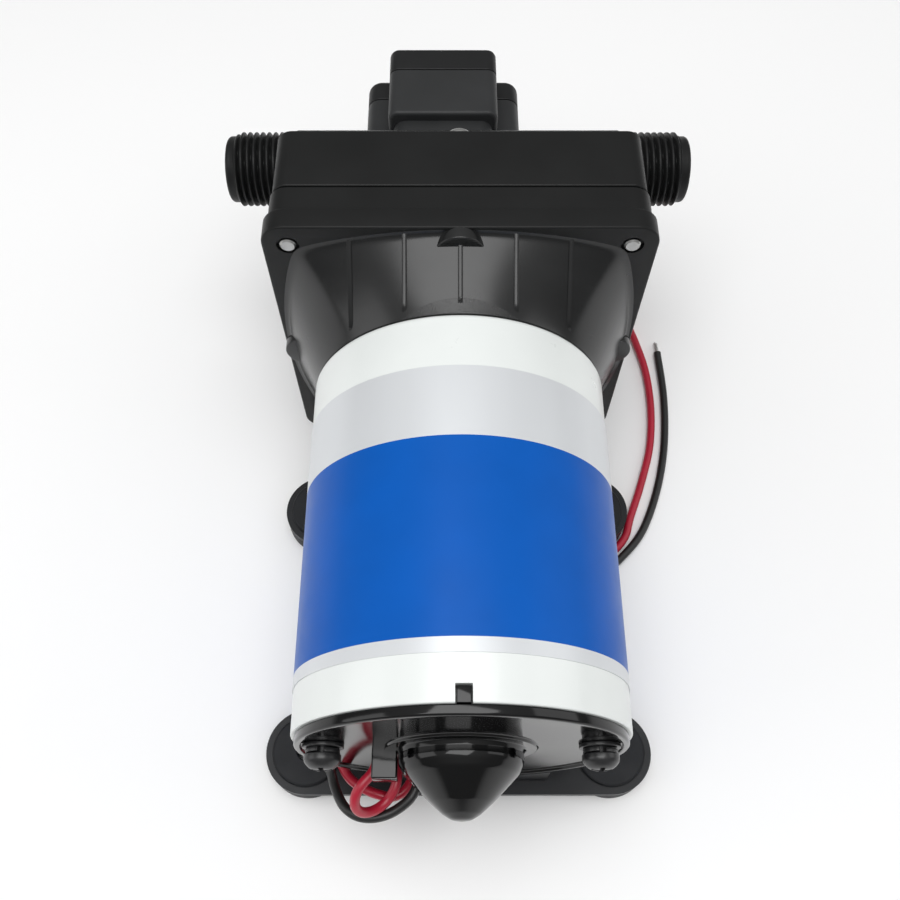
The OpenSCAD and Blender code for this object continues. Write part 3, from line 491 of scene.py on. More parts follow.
def brick(low, high, edge=0.3):
    """A box with rounded edges, from its low to its high corner."""
    build = bmesh.new()
    bmesh.ops.create_cube(build, size=1.0)
    middle = [(a + b) / 2 for a, b in zip(low, high)]
    size = [b - a for a, b in zip(low, high)]
    for v in build.verts:
        v.co = Vector([m + c * s for m, c, s in zip(middle, v.co, size)])
    bmesh.ops.bevel(build, geom=build.edges[:], offset=edge, segments=3, profile=0.5, affect="EDGES")
    verts = [from_axis(*v.co) for v in build.verts]
    build.verts.index_update()
    faces = [tuple(v.index for v in f.verts) for f in build.faces]
    build.free()
    return verts, faces


def spline_points(points, steps):
    """A smooth curve through the points."""
    pts = [Vector(p) for p in points]
    out = []
    for i in range(len(pts) - 1):
        a, b = pts[max(i - 1, 0)], pts[i]
        c, d = pts[i + 1], pts[min(i + 2, len(pts) - 1)]
        for k in range(steps):
            t = k / steps
            out.append(0.5 * (2 * b + (c - a) * t + (2 * a - 5 * b + 4 * c - d) * t * t
                              + (3 * b - a - 3 * c + d) * t * t * t))
    out.append(pts[-1])
    return out


def tube(points, radius, sides=10):
    """A swept tube in the row frame."""
    pts = [Vector(p) for p in points]
    count = len(pts)
    tangents = [(pts[min(i + 1, count - 1)] - pts[max(i - 1, 0)]).normalized() for i in range(count)]
    normal = tangents[0].orthogonal().normalized()
    loops = []
    for p, t in zip(pts, tangents):
        normal = (normal - t * normal.dot(t)).normalized()
        side = t.cross(normal)
        loops.append([tuple((p + radius * (normal * c + side * s)) * MM) for c, s in circle(sides)])
    return loops_shell(loops)


# Wires

def wire(name, points, material, replaced):
    """A round wire along a smooth route."""
    path = spline_points(points, 8)
    data = bpy.data.curves.new(name, "CURVE")
    data.dimensions = "3D"
    data.bevel_depth = WIRE_R * MM
    data.bevel_resolution = 6
    data.use_fill_caps = True
    line = data.splines.new("POLY")
    line.points.add(len(path) - 1)
    for spot, p in zip(line.points, path):
        spot.co = (*(p * MM), 1.0)
    line.use_smooth = True
    made = bpy.data.objects.new(name, data)
    scene.collection.objects.link(made)
    data.materials.append(material)
    settle(made, "pump_frame", replaced)


def bend(x, y, z, r, a0, a1, n):
    """Points on a level arc."""
    out = []
    for i in range(n + 1):
        a = math.radians(a0 + (a1 - a0) * i / n)
        out.append((x + r * math.cos(a), y + r * math.sin(a), z))
    return out


def hoop(x, y, z, r, turn, tilt, a0, a1, n):
    """Points on a circle that is turned about the vertical and tilted over."""
    ct, st = math.cos(math.radians(turn)), math.sin(math.radians(turn))
    cl, sl = math.cos(math.radians(tilt)), math.sin(math.radians(tilt))
    out = []
    for i in range(n + 1):
        a = math.radians(a0 + (a1 - a0) * i / n)
        c, s = r * math.cos(a), r * math.sin(a)
        out.append((x + c * ct - s * cl * st, y + c * st + s * cl * ct, z + s * sl))
    return out


def routed(points):
    """Points with Y given from the can's rear rim and Z from the ground, in the row frame."""
    return [(x, y + REAR_Y, z) for x, y, z in points]


BLACK_ROUTE = routed([
    (-9.5, 0.5, 34.5), (-9.5, -4, 34.5), (-11.2, -9, 33.9), (-15, -12.2, 32.6), (-19.5, -13.8, 31.8),
    (-24, -13.6, 31.2), (-27.6, -11.4, 30.4), (-30, -7.5, 28.6), (-31.8, -3, 25.4), (-34.6, 3.6, 17.4),
    (-31, 14.4, 12.4), (-18, 23, 4.5), (-1, 32, 1.8), (20, 42, 1.5), (37, 52, 1.5), (49.5, 63, 1.5),
    (57, 72, 1.5), (63, 86, 1.5), (67, 102, 1.5), (68.8, 120, 1.5), (68.5, 137.5, 1.5)])
JUMPER_ROUTE = routed(
    [(-14.94, 0.5, 35.63), (-14.94, -2.2, 35.63), (-14.94, -4.87, 35.63), (-15.01, -5.94, 35.57),
     (-15.22, -6.98, 35.38), (-15.56, -7.95, 35.06)]
    + hoop(-19.7, -9, 39, r=5.7, turn=42, tilt=62, a0=-60, a1=-264, n=12)
    + [(-20.93, -6.44, 44.13), (-20.22, -5.57, 44.23), (-19.69, -4.58, 44.3), (-19.36, -3.5, 44.34),
       (-19.25, -2.38, 44.35), (-19.25, 0.7, 44.35)])
RED_ROUTE = routed(
    [(-11.5, 0.5, 30), (-11.5, -2, 30)] + bend(-17.1, -3.4, 30, r=5.6, a0=0, a1=-112, n=8)
    + [(-21.4, -7.9, 29.9), (-24.2, -6.5, 29.2), (-27, -4.3, 27.4), (-29.2, -1, 24.6), (-30.3, 2.6, 21.4),
       (-30.5, 7, 18), (-26, 20.6, 11.8), (-13, 34, 4.8), (4, 45, 2.2), (24, 53, 1.6), (39.4, 59.8, 1.5),
       (46.8, 64.7, 1.5), (51.5, 70, 1.5), (53.8, 76.6, 1.5), (58.5, 89, 1.5), (62.6, 103, 1.5),
       (64.2, 120, 1.5), (62.6, 137, 1.5), (56, 156, 2.5), (40, 175, 7), (15.8, 186, 17), (6.8, 187, 28),
       (5.8, 187, 36.5)])


def bared_end():
    """Six tinned strands wound round a seventh and drawn together at the tip."""
    start, end = (Vector(p) for p in routed([(68.5, 137.2, 1.5), (68.2, 141.5, 1.5)]))
    count, steps, twist = 6, 12, 0.35
    core_r, strand_r, lay_r = 0.24, 0.23, 0.45
    drawn_from, draw_in = 0.85, 0.12
    along = (end - start).normalized()
    up = Vector((0, 0, 1))
    side = along.cross(up).normalized()
    shells = [tube([start, start.lerp(end, 0.5), end], core_r, 8)]
    for k in range(count):
        reach = 1.0 - 0.03 * (k % 3)
        path = []
        for i in range(steps + 1):
            t = i / steps
            a = math.tau * (k / count + twist * t)
            r = lay_r - draw_in * max(0.0, t - drawn_from) / (1.0 - drawn_from)
            path.append(start.lerp(end, t * reach) + r * (side * math.cos(a) + up * math.sin(a)))
        shells.append(tube(path, strand_r, 8))
    verts, faces = joined(*shells)
    return piece("bared_strands", verts, faces, STRAND, "pump_frame", ["black_lead_end"],
                 50.0)


strands = bared_end()
wire("black_wire", BLACK_ROUTE, BLACK_WIRE, ["black_lead"])
wire("red_jumper_wire", JUMPER_ROUTE, RED_WIRE, ["red_jumper"])
wire("red_wire", RED_ROUTE, RED_WIRE, ["red_lead"])


# Motor

def make_can():
    """A drawn can, open at the rear, with a key notch in its rim and a round mouth in its floor."""
    mouth, bore, floor = 13.0, CAN_R - CAN_WALL, CAN_L - CAN_WALL
    outline = [(mouth, CAN_L), (CAN_R, CAN_L), (CAN_R, 0.0), (bore, 0.0), (bore, floor), (mouth, floor)]
    verts, faces = turned(fillet(outline, [0.2, 1.6, 0.35, 0.3, 0.5, 0.2], 6), 240)
    made = piece("can_shell", verts, faces, PAINT, "pump_frame", ["motor_can"])
    notch = brick((-NOTCH_W / 2, -2.0, bore - 1.5), (NOTCH_W / 2, NOTCH_L, CAN_R + 2.0), 0.15)
    holes = [rod(at, CAN_L - 3, CAN_L + 1, BOLT_HOLE_R) for at in BOLT_SPOTS.values()]
    carve(made, [notch, *holes])


def make_label():
    """A film round most of the can, in three bands of which the middle one is blue."""
    inner, outer = CAN_R + 0.02, CAN_R + 0.2
    shells = []
    for y0, y1 in LABEL_BANDS:
        section = [(inner, y0), (outer, y0), (outer, y1), (inner, y1)]
        shells.append(turned(section, 200, start=-LABEL_SPAN / 2, span=LABEL_SPAN))
    verts, faces = joined(*shells)
    made = piece("label_film", verts, faces, [SILVER, BLUE], "pump_frame", ["label_band"])
    centres = [p.center.y for p in made.data.polygons]
    low, high = ((REAR_Y + y) * MM for y in LABEL_BANDS[1])
    made.data.polygons.foreach_set("material_index", [1 if low < y < high else 0 for y in centres])


def wire_hole(end, room):
    """A cut through the cap's face round one end of a wire's route."""
    return rod((end[0], end[2] - AXIS_Z), CAP_FACE - 1, 4, WIRE_R + room)


def make_cap():
    """The end cap with its cone, wire block and key, and the holes behind them."""
    face, rim, back, spigot_l, tip = CAP_FACE, -2.2, 3.0, 5.5, -17.0
    rim_r, spigot_r, inner_r = CAN_R - 0.8, CAN_R - CAN_WALL - 0.1, 33.4
    plate = [(0.0, back), (inner_r, back), (inner_r, spigot_l), (spigot_r, spigot_l), (spigot_r, 0.0),
             (rim_r, 0.0), (rim_r, rim), (35.8, rim), (35.5, face), (17.2, face), (16.9, -2.1), (14.4, -2.1)]
    plate_radii = [0.0, 0.3, 0.3, 0.3, 0.1, 0.3, 0.6, 0.3, 0.4, 0.5, 0.3, 0.6]
    cone = [(14.0, -3.2), (14.0, -5.2), (12.9, -7.2), (10.7, -9.4), (7.0, -13.1), (4.2, -15.5), (2.2, -16.7),
            (0.0, tip)]
    cone_radii = [0.8, 3.0, 4.0, 6.0, 6.0, 4.0, 4.0, 0.0]
    body = turned(fillet(plate + cone, plate_radii + cone_radii, 7), 200)
    wire_block = brick((-20.0, face - 6.5, -6.0), (-14.3, face + 0.5, 0.0), 0.35)
    key_half = NOTCH_W / 2 - 0.25
    key = brick((-key_half, 0.1, 34.5), (key_half, NOTCH_L - 0.3, 37.4), 0.2)
    verts, faces = joined(body, wire_block, key)
    made = piece("end_cap", verts, faces, GLOSS_BLACK, "pump_frame", ["rear_cap"], 40.0)
    nick = brick((11.4, -6.4, -2.0), (15.0, -4.6, 0.0), 0.1)
    bush_seat, shaft_room = rod((0, 0), -8.5, 4, 7.02), rod((0, 0), -13.5, 5, 4.6)
    cuts = [nick, bush_seat, shaft_room]
    cuts += [rod(at, face - 1.7, 4, BOLT_HOLE_R) for at in BOLT_SPOTS.values()]
    bush_wall, play = 1.22, 0.2
    cuts.append(wire_hole(BLACK_ROUTE[0], bush_wall))
    cuts += [wire_hole(end, play) for end in (RED_ROUTE[0], JUMPER_ROUTE[0], JUMPER_ROUTE[-1])]
    carve(made, cuts, 40.0)


def pan_head(name, material, replaced, at, y, head_r, head_h, direction, shank):
    """A screw with a pan head and a cross recess. shank is its radius and length.

    direction is 1 for a head that faces the pump end and -1 for one that faces the rear.
    """
    rim_h, arm, arm_half = head_h * 0.45, head_r * 0.55, head_r * 0.13
    dome = [(0.0, 0.0), (head_r, 0.0), (head_r, rim_h), (head_r * 0.62, head_h * 0.93), (0.0, head_h)]
    shaped = fillet(dome, [0.0, 0.25, head_h * 0.5, head_h * 0.9, 0.0], 7)
    outline = [(r, y + direction * h) for r, h in shaped]
    r, tip, point = shank[0], y - direction * shank[1], 0.4
    stem = [(0.0, y), (r, y), (r, tip + direction * point), (r - point, tip), (0.0, tip)]
    verts, faces = joined(turned(outline, 72, at), turned(stem, 48, at))
    made = piece(name, verts, faces, material, "pump_frame", replaced)
    cuts = []
    deep, out = y + direction * rim_h, y + direction * head_h * 1.4
    for wide, tall in ((arm, arm_half), (arm_half, arm)):
        low = (at[0] - wide, min(deep, out), at[1] - tall)
        high = (at[0] + wide, max(deep, out), at[1] + tall)
        cuts.append(brick(low, high, 0.08))
    carve(made, cuts)


def lock_washer(at, y0, y1, r0, r1):
    """A split ring whose ends stand a little apart."""
    steps = 72
    rise, edge, split = 0.22, 0.12, 24
    loops = []
    for i in range(steps + 1):
        t = i / steps
        a = math.radians(split / 2 + (360 - split) * t)
        lift = rise * (t - 0.5)
        low, high = y0 + edge + lift, y1 - edge + lift
        section = fillet([(r0, low), (r1, low), (r1, high), (r0, high)], edge, 2)
        loops.append([from_axis(at[0] + r * math.sin(a), y, at[1] + r * math.cos(a)) for r, y in section])
    return loops_shell(loops)


def make_bolts():
    """The two through bolts, each on a lock washer and a flat one."""
    hole, flat_r, lock_r = BOLT_R + 0.15, 4.6, 3.8
    flat_y, head_y, air = CAP_FACE - 0.9, CAP_FACE - 2.2, 0.05
    for name, at in BOLT_SPOTS.items():
        pan_head("through_bolt_" + name, BLACK_STEEL, ["through_bolts"], at, head_y,
                 head_r=4.1, head_h=3.4, direction=-1, shank=(BOLT_R, BOLT_L))
        flat = fillet([(hole, CAP_FACE), (flat_r, CAP_FACE), (flat_r, flat_y), (hole, flat_y)], 0.2, 3)
        lock = lock_washer(at, head_y + air, flat_y - air, hole, lock_r)
        verts, faces = joined(turned(flat, 72, at), lock)
        piece("washers_" + name, verts, faces, BLACK_STEEL, "pump_frame", ["bolt_washers"])


make_can()
make_label()
make_cap()
make_bolts()


# Pump head

def throat_half(u):
    """Half the throat's width at a share u of the way from the can to the flange."""
    return THROAT_R + (THROAT_HALF - THROAT_R) * u ** THROAT_CURVE


def face_r(u):
    """Radius of the bulge of each face, which flattens out towards the flange."""
    return 1.0 / ((1 - u) / THROAT_R + u / FACE_BOW_R)


def throat_reach(u, a):
    """Distance from the axis at one angle: four bulging faces that meet in soft folds."""
    softness = 4.0
    fold = abs(math.degrees(a) % 90 - 45)
    e = math.radians(45 - math.sqrt(fold ** 2 + softness * (1 - fold / 45)))
    r = face_r(u)
    c = throat_half(u) - r
    return c * math.cos(e) + math.sqrt(r ** 2 - (c * math.sin(e)) ** 2)


def throat_top(u, x):
    """Height of the upper face above the axis."""
    r = face_r(u)
    return throat_half(u) - r + math.sqrt(r ** 2 - x ** 2)


def throat_shell():
    """The throat's skin, flared into the flange, and the hollow inside it."""
    loops = []
    stations = [i / 44 for i in range(43)] + [0.965, 0.98, 0.99, 1.0]
    count = 288
    for u in stations:
        away = THROAT_L * (1 - u)
        flare = 1.0 - math.sqrt(max(0.0, 1 - (1 - away) ** 2)) if away < 1.0 else 0.0
        y = CAN_L + THROAT_L * u
        loop = []
        for k in range(count):
            a = math.tau * k / count
            r = throat_reach(u, a) + flare
            loop.append(from_axis(r * math.cos(a), y, r * math.sin(a)))
        loops.append(loop)
    web_r, cone_l = 32.0, 7.0
    for r, y in ((CAVITY_R, FLANGE_Y), (CAVITY_R, WEB_END + cone_l), (web_r, WEB_END), (BEARING_R, WEB_END),
                 (BEARING_R, CAN_L)):
        loops.append([from_axis(r * c, y, r * s) for c, s in circle(count)])
    return loops_shell(loops, ring=True)


def throat_ribs():
    """Thin raised lines along the upper and lower throat faces, with square shoulders and a soft crest."""
    height, root, end, steps = 0.55, -0.5, 0.992, 28
    shells = []
    for face in (0, 180):
        spin = Matrix.Rotation(math.radians(face), 3, "Y")
        for i in range(-2, 3):
            x = i * RIB_PITCH
            first = 0.1 if i else 0.14
            loops = []
            for k in range(steps + 1):
                u = first + (end - first) * k / steps
                rise = height * min(1.0, k / 1.5)
                half = [(0.62, root), (0.55, rise * 0.75), (0.3, rise)]
                section = [(-dx, dz) for dx, dz in half] + half[::-1]
                y, top = CAN_L + THROAT_L * u, throat_top(u, x)
                loops.append([from_axis(*(spin @ Vector((x + dx, y, top + dz)))) for dx, dz in section])
            shells.append(loops_shell(loops))
    return shells


def make_lower_housing():
    """The throat with its ribs and half-round bosses, and the flange with its screw holes."""
    seat_r, boss_r, boss_y = DIAPHRAGM_R + 0.1, 6.3, FLANGE_Y - 2.9
    pit_r, pit = 2.75, 0.9
    cavity = turned([(0.0, WEB_END + 1), (CAVITY_R, WEB_END + 1), (CAVITY_R, DIAPHRAGM_Y),
                     (seat_r, DIAPHRAGM_Y), (seat_r, FLANGE_END + 1), (0.0, FLANGE_END + 1)], 192)
    boss = fillet([(0.0, FLANGE_Y + 1), (boss_r, FLANGE_Y + 1), (boss_r, boss_y), (0.0, boss_y)],
                  [0.0, 0.0, 0.35, 0.0], 4)
    bosses = [cut_shell(turned(boss, 64, at), [cavity]) for at in MIDS]
    verts, faces = joined(throat_shell(), *throat_ribs(), *bosses)
    piece("throat", verts, faces, THROAT, "pump_frame", ["lower_housing"], 38.0)
    verts, faces = slab(FLANGE_W, FLANGE_W, 6, FLANGE_Y, FLANGE_END, rear=0.5, front=0.35)
    flange = piece("throat_flange", verts, faces, BLACK_PLASTIC, "pump_frame",
                   ["lower_housing"])
    cuts = [cavity]
    cuts += [rod(at, FLANGE_Y - 1, FLANGE_Y + pit, pit_r) for at in CORNERS]
    cuts += [rod(at, FLANGE_Y + pit - 0.5, FLANGE_END + 1, SCREW_R + 0.05) for at in (*CORNERS, *MIDS)]
    carve(flange, cuts)


def manifold_shell():
    """The cross tube on its web, with the water ways open at both ends."""
    axis_y, axis_z = PORT_AXIS
    outer, bore, half, soft = THREAD_R + 0.5, PORT_BORE_R + 0.3, HEAD_W / 2, 0.8
    back = axis_y - (HEAD_END - 1.0)
    count = 96
    angles = [math.tau * (k + 0.5) / count for k in range(count)]

    def reach(a):
        c, s = math.cos(a), math.sin(a)
        if c >= 0:
            return outer
        return min(back / -c, outer / abs(s) if abs(s) > 1e-6 else 1e9)

    def ring(x, radii):
        return [from_axis(x, axis_y + r * math.cos(a), axis_z + r * math.sin(a))
                for r, a in zip(radii, angles)]

    def outline(x, inset):
        return ring(x, [reach(a) - inset for a in angles])

    def hole(x):
        return ring(x, [bore] * count)

    quarter = [math.pi / 2 * k / 4 for k in range(5)]
    edge = [(half - soft * (1 - math.sin(t)), soft * (1 - math.cos(t))) for t in quarter]
    loops = [hole(-WATER_WAY_END), hole(-half)]
    loops += [outline(-x, inset) for x, inset in reversed(edge)]
    loops += [outline(x, inset) for x, inset in edge]
    loops += [hole(half), hole(WATER_WAY_END)]
    return loops_shell(loops)


def trough(r0, r1, y0, y1):
    """A closed ring about the motor axis."""
    return turned([(r0, y0), (r1, y0), (r1, y1), (r0, y1)], 144)


def cross_rod(x0, x1, r):
    """A closed round bar on the ports' axis."""
    y, z = PORT_AXIS
    return loops_shell([[from_axis(x, y + r * c, z + r * s) for c, s in circle(64)] for x in (x0, x1)])


def make_upper_housing():
    """The head with its cross tube and the switch's dome, and the water ways and screw holes in it."""
    neck_w, dome_r = HEAD_W - 2.4, 19.0
    shells = [slab(neck_w, neck_w, 3, RING_END, RING_END + 1.2, rear=0.1, front=0.1)]
    shells.append(slab(HEAD_W, HEAD_W, 4, RING_END + 1.0, HEAD_END, rear=0.5, front=0.9, steps=6, corner=10))
    shells.append(manifold_shell())
    dome = fillet([(0.0, HEAD_END - 1), (dome_r, HEAD_END - 1), (dome_r, SWITCH_Y), (0.0, SWITCH_Y)],
                  [0.0, 0.0, 0.8, 0.0], 5)
    shells.append(turned(dome, 96, (SWITCH_X, 0.0)))
    shells.append(switch_bar(HEAD_END - 1, SWITCH_Y, rear=0.2, front=0.2, steps=3))
    verts, faces = joined(*shells)
    head = piece("valve_head", verts, faces, BLACK_PLASTIC, "pump_frame", ["upper_housing"])
    boss, gallery, boss_r = RING_END + 5, HEAD_END - 5.4, 36.65
    delivery_r, suction_r, bore = 16.83, (19.43, boss_r - 1), PORT_BORE_R + 0.29
    seal_r, seal_end = (boss_r + 0.7, boss_r + 2), RING_END + 1.3
    port_y, port_z = PORT_AXIS
    inlet_x, inlet_r, outlet_x, outlet_r = -26.39, 5.0, 8.0, 4.0
    screw_pit_r, switch_way_r, pilot_r, pilot = 3.1, 2.0, 1.55, 9
    cuts = [rod(at, HEAD_END - SCREW_SEAT, HEAD_END + 1, screw_pit_r) for at in CORNERS]
    cuts += [rod(at, RING_END - 2, HEAD_END + 2, SCREW_R + 0.2) for at in (*CORNERS, *MIDS)]
    cuts.append(rod((0, 0), RING_END - 1, boss + 0.3, boss_r + 0.4, 144))
    cuts.append(trough(*suction_r, boss, gallery))
    cuts.append(rod((0, 0), boss, gallery, delivery_r, 96))
    cuts.append(trough(*seal_r, RING_END - 1, seal_end))
    cuts.append(rod((inlet_x, port_z), gallery - 1, port_y, inlet_r))
    cuts.append(rod((outlet_x, port_z - outlet_r), gallery - 1, port_y, outlet_r))
    cuts.append(cross_rod(-WATER_WAY_END - 2, inlet_x + inlet_r, bore))
    cuts.append(cross_rod(outlet_x - outlet_r, WATER_WAY_END + 2, bore))
    cuts.append(rod((SWITCH_X, 0), gallery - 1, SWITCH_Y + 1, switch_way_r))
    cuts += [rod(at, SWITCH_Y - pilot, SWITCH_Y + 1, pilot_r) for at in LOBES]
    carve(head, cuts)


def held(value):
    """A value kept between 0 and 1."""
    return max(0.0, min(1.0, value))


def make_port(side, name, replaced):
    """A threaded port with a true helix, a plain rounded nose and an open bore."""
    root = THREAD_R - THREAD_PITCH * 0.6
    start, end, bore = HEAD_W / 2, PORT_TIP, PORT_BORE_R
    first, last = end - NOSE_L - THREAD_TURNS * THREAD_PITCH, end - NOSE_L
    runout, flank = 0.9, 0.39
    low, high = first - runout, last + runout
    count, samples = 96, 120
    axis_y, axis_z = PORT_AXIS

    def point(x, r, k):
        a = math.tau * k / count
        return from_axis(side * x, axis_y + r * math.cos(a), axis_z + r * math.sin(a))

    def crest(x, k):
        phase = ((x - first) / THREAD_PITCH - side * k / count) % 1.0
        wave = held((0.5 - abs(phase - 0.5)) / flank)
        fade = held((x - first + runout) / runout) * held((last + runout - x) / runout)
        return root + (THREAD_R - root) * wave * fade

    loops = [[point(start, r, k) for k in range(count)] for r in (bore, root)]
    for i in range(samples + 1):
        x = low + (high - low) * i / samples
        loops.append([point(x, crest(x, k), k) for k in range(count)])
    nose = fillet([(high, root), (end, root), (end, bore), (start, bore)], [0.0, 1.2, 0.5, 0.0], 6)
    for x, r in nose[1:-1]:
        loops.append([point(x, r, k) for k in range(count)])
    verts, faces = loops_shell(loops, ring=True)
    piece(name, verts, faces, BLACK_PLASTIC, "pump_frame", replaced, 50.0)


def make_head_screws():
    """Small sunk heads in the corners, whose tips show in the flange, and larger heads between them."""
    for i, at in enumerate((*CORNERS, *MIDS)):
        if at in CORNERS:
            seat, tip, head_r, head_h = HEAD_END - SCREW_SEAT, FLANGE_Y - 0.3, 2.9, 2.2
        else:
            seat, tip, head_r, head_h = HEAD_END, FLANGE_Y + 0.6, 3.8, 3.4
        pan_head("head_screw_%d" % (i + 1), ZINC, ["head_screws"], at, seat,
                 head_r, head_h, direction=1, shank=(SCREW_R, seat - tip))


def switch_cut(w, h, r, y0, y1):
    """A closed block on the switch's axis, with nearly square edges."""
    return slab(w, h, r, y0, y1, rear=0.1, front=0.1, steps=2, corner=6, middle=SWITCH_X)


def switch_bar(y0, y1, rear, front, steps):
    """The bar across the switch that its two screws go through."""
    return slab(*SWITCH_BAR, y0, y1, rear, front, steps, corner=10, middle=SWITCH_X)


def switch_box(y0, y1, rear, front):
    """A length of the switch's square body."""
    return slab(*SWITCH_BOX, y0, y1, rear, front, steps=6, middle=SWITCH_X)


def make_switch():
    """The switch's case with its side bar, and its lid with two ears."""
    middle = (SWITCH_X, 0.0)
    wide, tall, corner = SWITCH_ROOM
    base, seat_r, guide_r, tool_r = (30.0, 26.0, 4.0), 10.6, 5.04, 3.1
    lead_x, lead_y, lead_r = SWITCH_X + 10, SWITCH_STEP + 8.4, 2.02
    terminal = loops_shell([[from_axis(lead_x + lead_r * c, lead_y + lead_r * s, z) for c, s in circle(32)]
                            for z in (-21.0, -12.0)])
    cuts = [rod(middle, SWITCH_Y - 1, SWITCH_Y + 2.2, seat_r)]
    cuts.append(rod(middle, SWITCH_Y - 2, SWITCH_SPLIT + 2, guide_r))
    cuts.append(switch_cut(wide, tall, corner, SWITCH_STEP + 3, SWITCH_SPLIT + 1))
    cuts.append(terminal)
    bar_cuts = [switch_cut(wide + 1.2, tall, corner, SWITCH_Y - 1, SWITCH_SPLIT + 1)]
    bar_cuts += [rod(at, SWITCH_Y - 1, SWITCH_SPLIT + 1, LOBE_HOLE_R) for at in LOBES]
    verts, faces = joined(
        cut_shell(slab(*base, SWITCH_Y, SWITCH_STEP + 0.5, rear=0.5, front=0.2, middle=SWITCH_X), cuts),
        cut_shell(switch_box(SWITCH_STEP, SWITCH_SPLIT, rear=1.2, front=0.35), cuts),
        cut_shell(switch_bar(SWITCH_Y, SWITCH_SPLIT, rear=0.2, front=0.35, steps=5), bar_cuts))
    piece("switch_case", verts, faces, CASE_PLASTIC, "pump_frame", ["switch_body"])

    seam = SWITCH_SPLIT + LID_SEAM
    verts, faces = switch_box(seam, SWITCH_END, rear=0.35, front=1.4)
    lid = piece("switch_lid", verts, faces, SWITCH_PLASTIC, "pump_frame", ["switch_cap"])
    carve(lid, [rod(middle, SWITCH_END - 3, SWITCH_END + 1, tool_r),
                switch_cut(wide, tall, corner, SWITCH_SPLIT - 1, SWITCH_END - 2.5)])
    verts, faces = switch_bar(seam, SWITCH_END - 0.6, rear=0.35, front=2.4, steps=6)
    ears = piece("switch_lid_ears", verts, faces, SWITCH_PLASTIC, "pump_frame",
                 ["switch_cap"])
    cuts = [rod(at, SWITCH_END - 3, SWITCH_END, LOBE_HEAD_R) for at in LOBES]
    cuts += [rod(at, SWITCH_SPLIT - 1, SWITCH_END - 2, LOBE_HOLE_R) for at in LOBES]
    cuts.append(switch_cut(wide + 2.6, tall, corner, SWITCH_SPLIT - 1, SWITCH_END + 1))
    carve(ears, cuts)


make_lower_housing()
make_upper_housing()
make_port(-1, "inlet_thread", ["inlet_port"])
make_port(1, "outlet_thread", ["outlet_port"])
make_head_screws()
make_switch()


# Diaphragm

def make_diaphragm():
    """A clamped sheet, and four pads that ride on the wobble plate with room to move in it."""
    spots = [(x, z) for x in (-PISTON_AT, PISTON_AT) for z in (-PISTON_AT, PISTON_AT)]
    pad_r, hole_r, room = 11.8, 1.65, 0.5
    outline = [(0.0, DIAPHRAGM_Y), (DIAPHRAGM_R, DIAPHRAGM_Y), (DIAPHRAGM_R, FLANGE_END), (0.0, FLANGE_END)]
    verts, faces = turned(fillet(outline, [0.0, 0.3, 0.3, 0.0], 3), 144)
    sheet = piece("diaphragm_sheet", verts, faces, RUBBER, "pump_frame", ["diaphragm"])
    carve(sheet, [rod(at, DIAPHRAGM_Y - 1, FLANGE_END + 1, pad_r + room, 96) for at in spots])
    half = (FLANGE_END - DIAPHRAGM_Y) / 2
    pad = fillet([(hole_r, -half), (pad_r, -half), (pad_r, half), (hole_r, half)], 0.3, 3)
    turn = math.radians(PLATE_TILT - 90.0)

    def tilted(x, q, d):
        y = FLANGE_END - half + q * math.cos(turn) - d * math.sin(turn)
        return from_axis(x, y, q * math.sin(turn) + d * math.cos(turn))

    shells = []
    for x, q in spots:
        loops = [[tilted(x + r * c, q + r * s, d) for r, d in pad] for c, s in circle(96)]
        shells.append(loops_shell(loops, ring=True))
    verts, faces = joined(*shells)
    piece("diaphragm_pads", verts, faces, RUBBER, "wobbler", ["diaphragm"])


make_diaphragm()


# Coil springs

def make_spring(name, node_name, x, y, along, length, r, wire_r):
    """A coil from its fixed seat, level with the motor axis, to the piece that it pushes along."""
    seat = Vector((x, y + REAR_Y, AXIS_Z))
    along = Vector(along)
    across = along.orthogonal().normalized()
    third = along.cross(across)
    turns, steps = 4, 24
    path = []
    for i in range(turns * steps + 1):
        a = math.tau * i / steps
        reach = wire_r + (length - 2 * wire_r) * i / (turns * steps)
        path.append(seat + along * reach + r * (across * math.cos(a) + third * math.sin(a)))
    verts, faces = tube(path, wire_r, 8)
    made = piece(name, verts, faces, SPRING_STEEL, "pump_frame", [node_name], 60.0)
    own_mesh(made)


for side, x, facing in (("left", -BRUSH_SEAT_X, (1, 0, 0)), ("right", BRUSH_SEAT_X, (-1, 0, 0))):
    make_spring("brush_coil_" + side, "brush_spring_" + side,
                x, BRUSH_Y, facing, length=6.0, r=2.8, wire_r=0.35)
make_spring("switch_coil", "switch_spring",
            SWITCH_X, SWITCH_SPRING_Y, (0, -1, 0), length=9.8, r=3.4, wire_r=0.5)


# CAD nodes that keep their own shape

def dress(name, material, edge=0.0):
    """Gives a CAD node its material, and a softened edge where it shows."""
    shown = nodes[name]
    shown.data.materials.clear()
    shown.data.materials.append(material)
    if edge > 0:
        weld = shown.modifiers.new("weld", "WELD")
        weld.merge_threshold = 2e-6
        flat = shown.modifiers.new("flat", "DECIMATE")
        flat.decimate_type = "DISSOLVE"
        flat.angle_limit = math.radians(0.3)
        soft = shown.modifiers.new("edges", "BEVEL")
        soft.width = edge * MM
        soft.segments = 3
        soft.limit_method = "ANGLE"
        soft.angle_limit = math.radians(35)
        soft.miter_outer = "MITER_ARC"
        shown.modifiers.new("normals", "WEIGHTED_NORMAL")


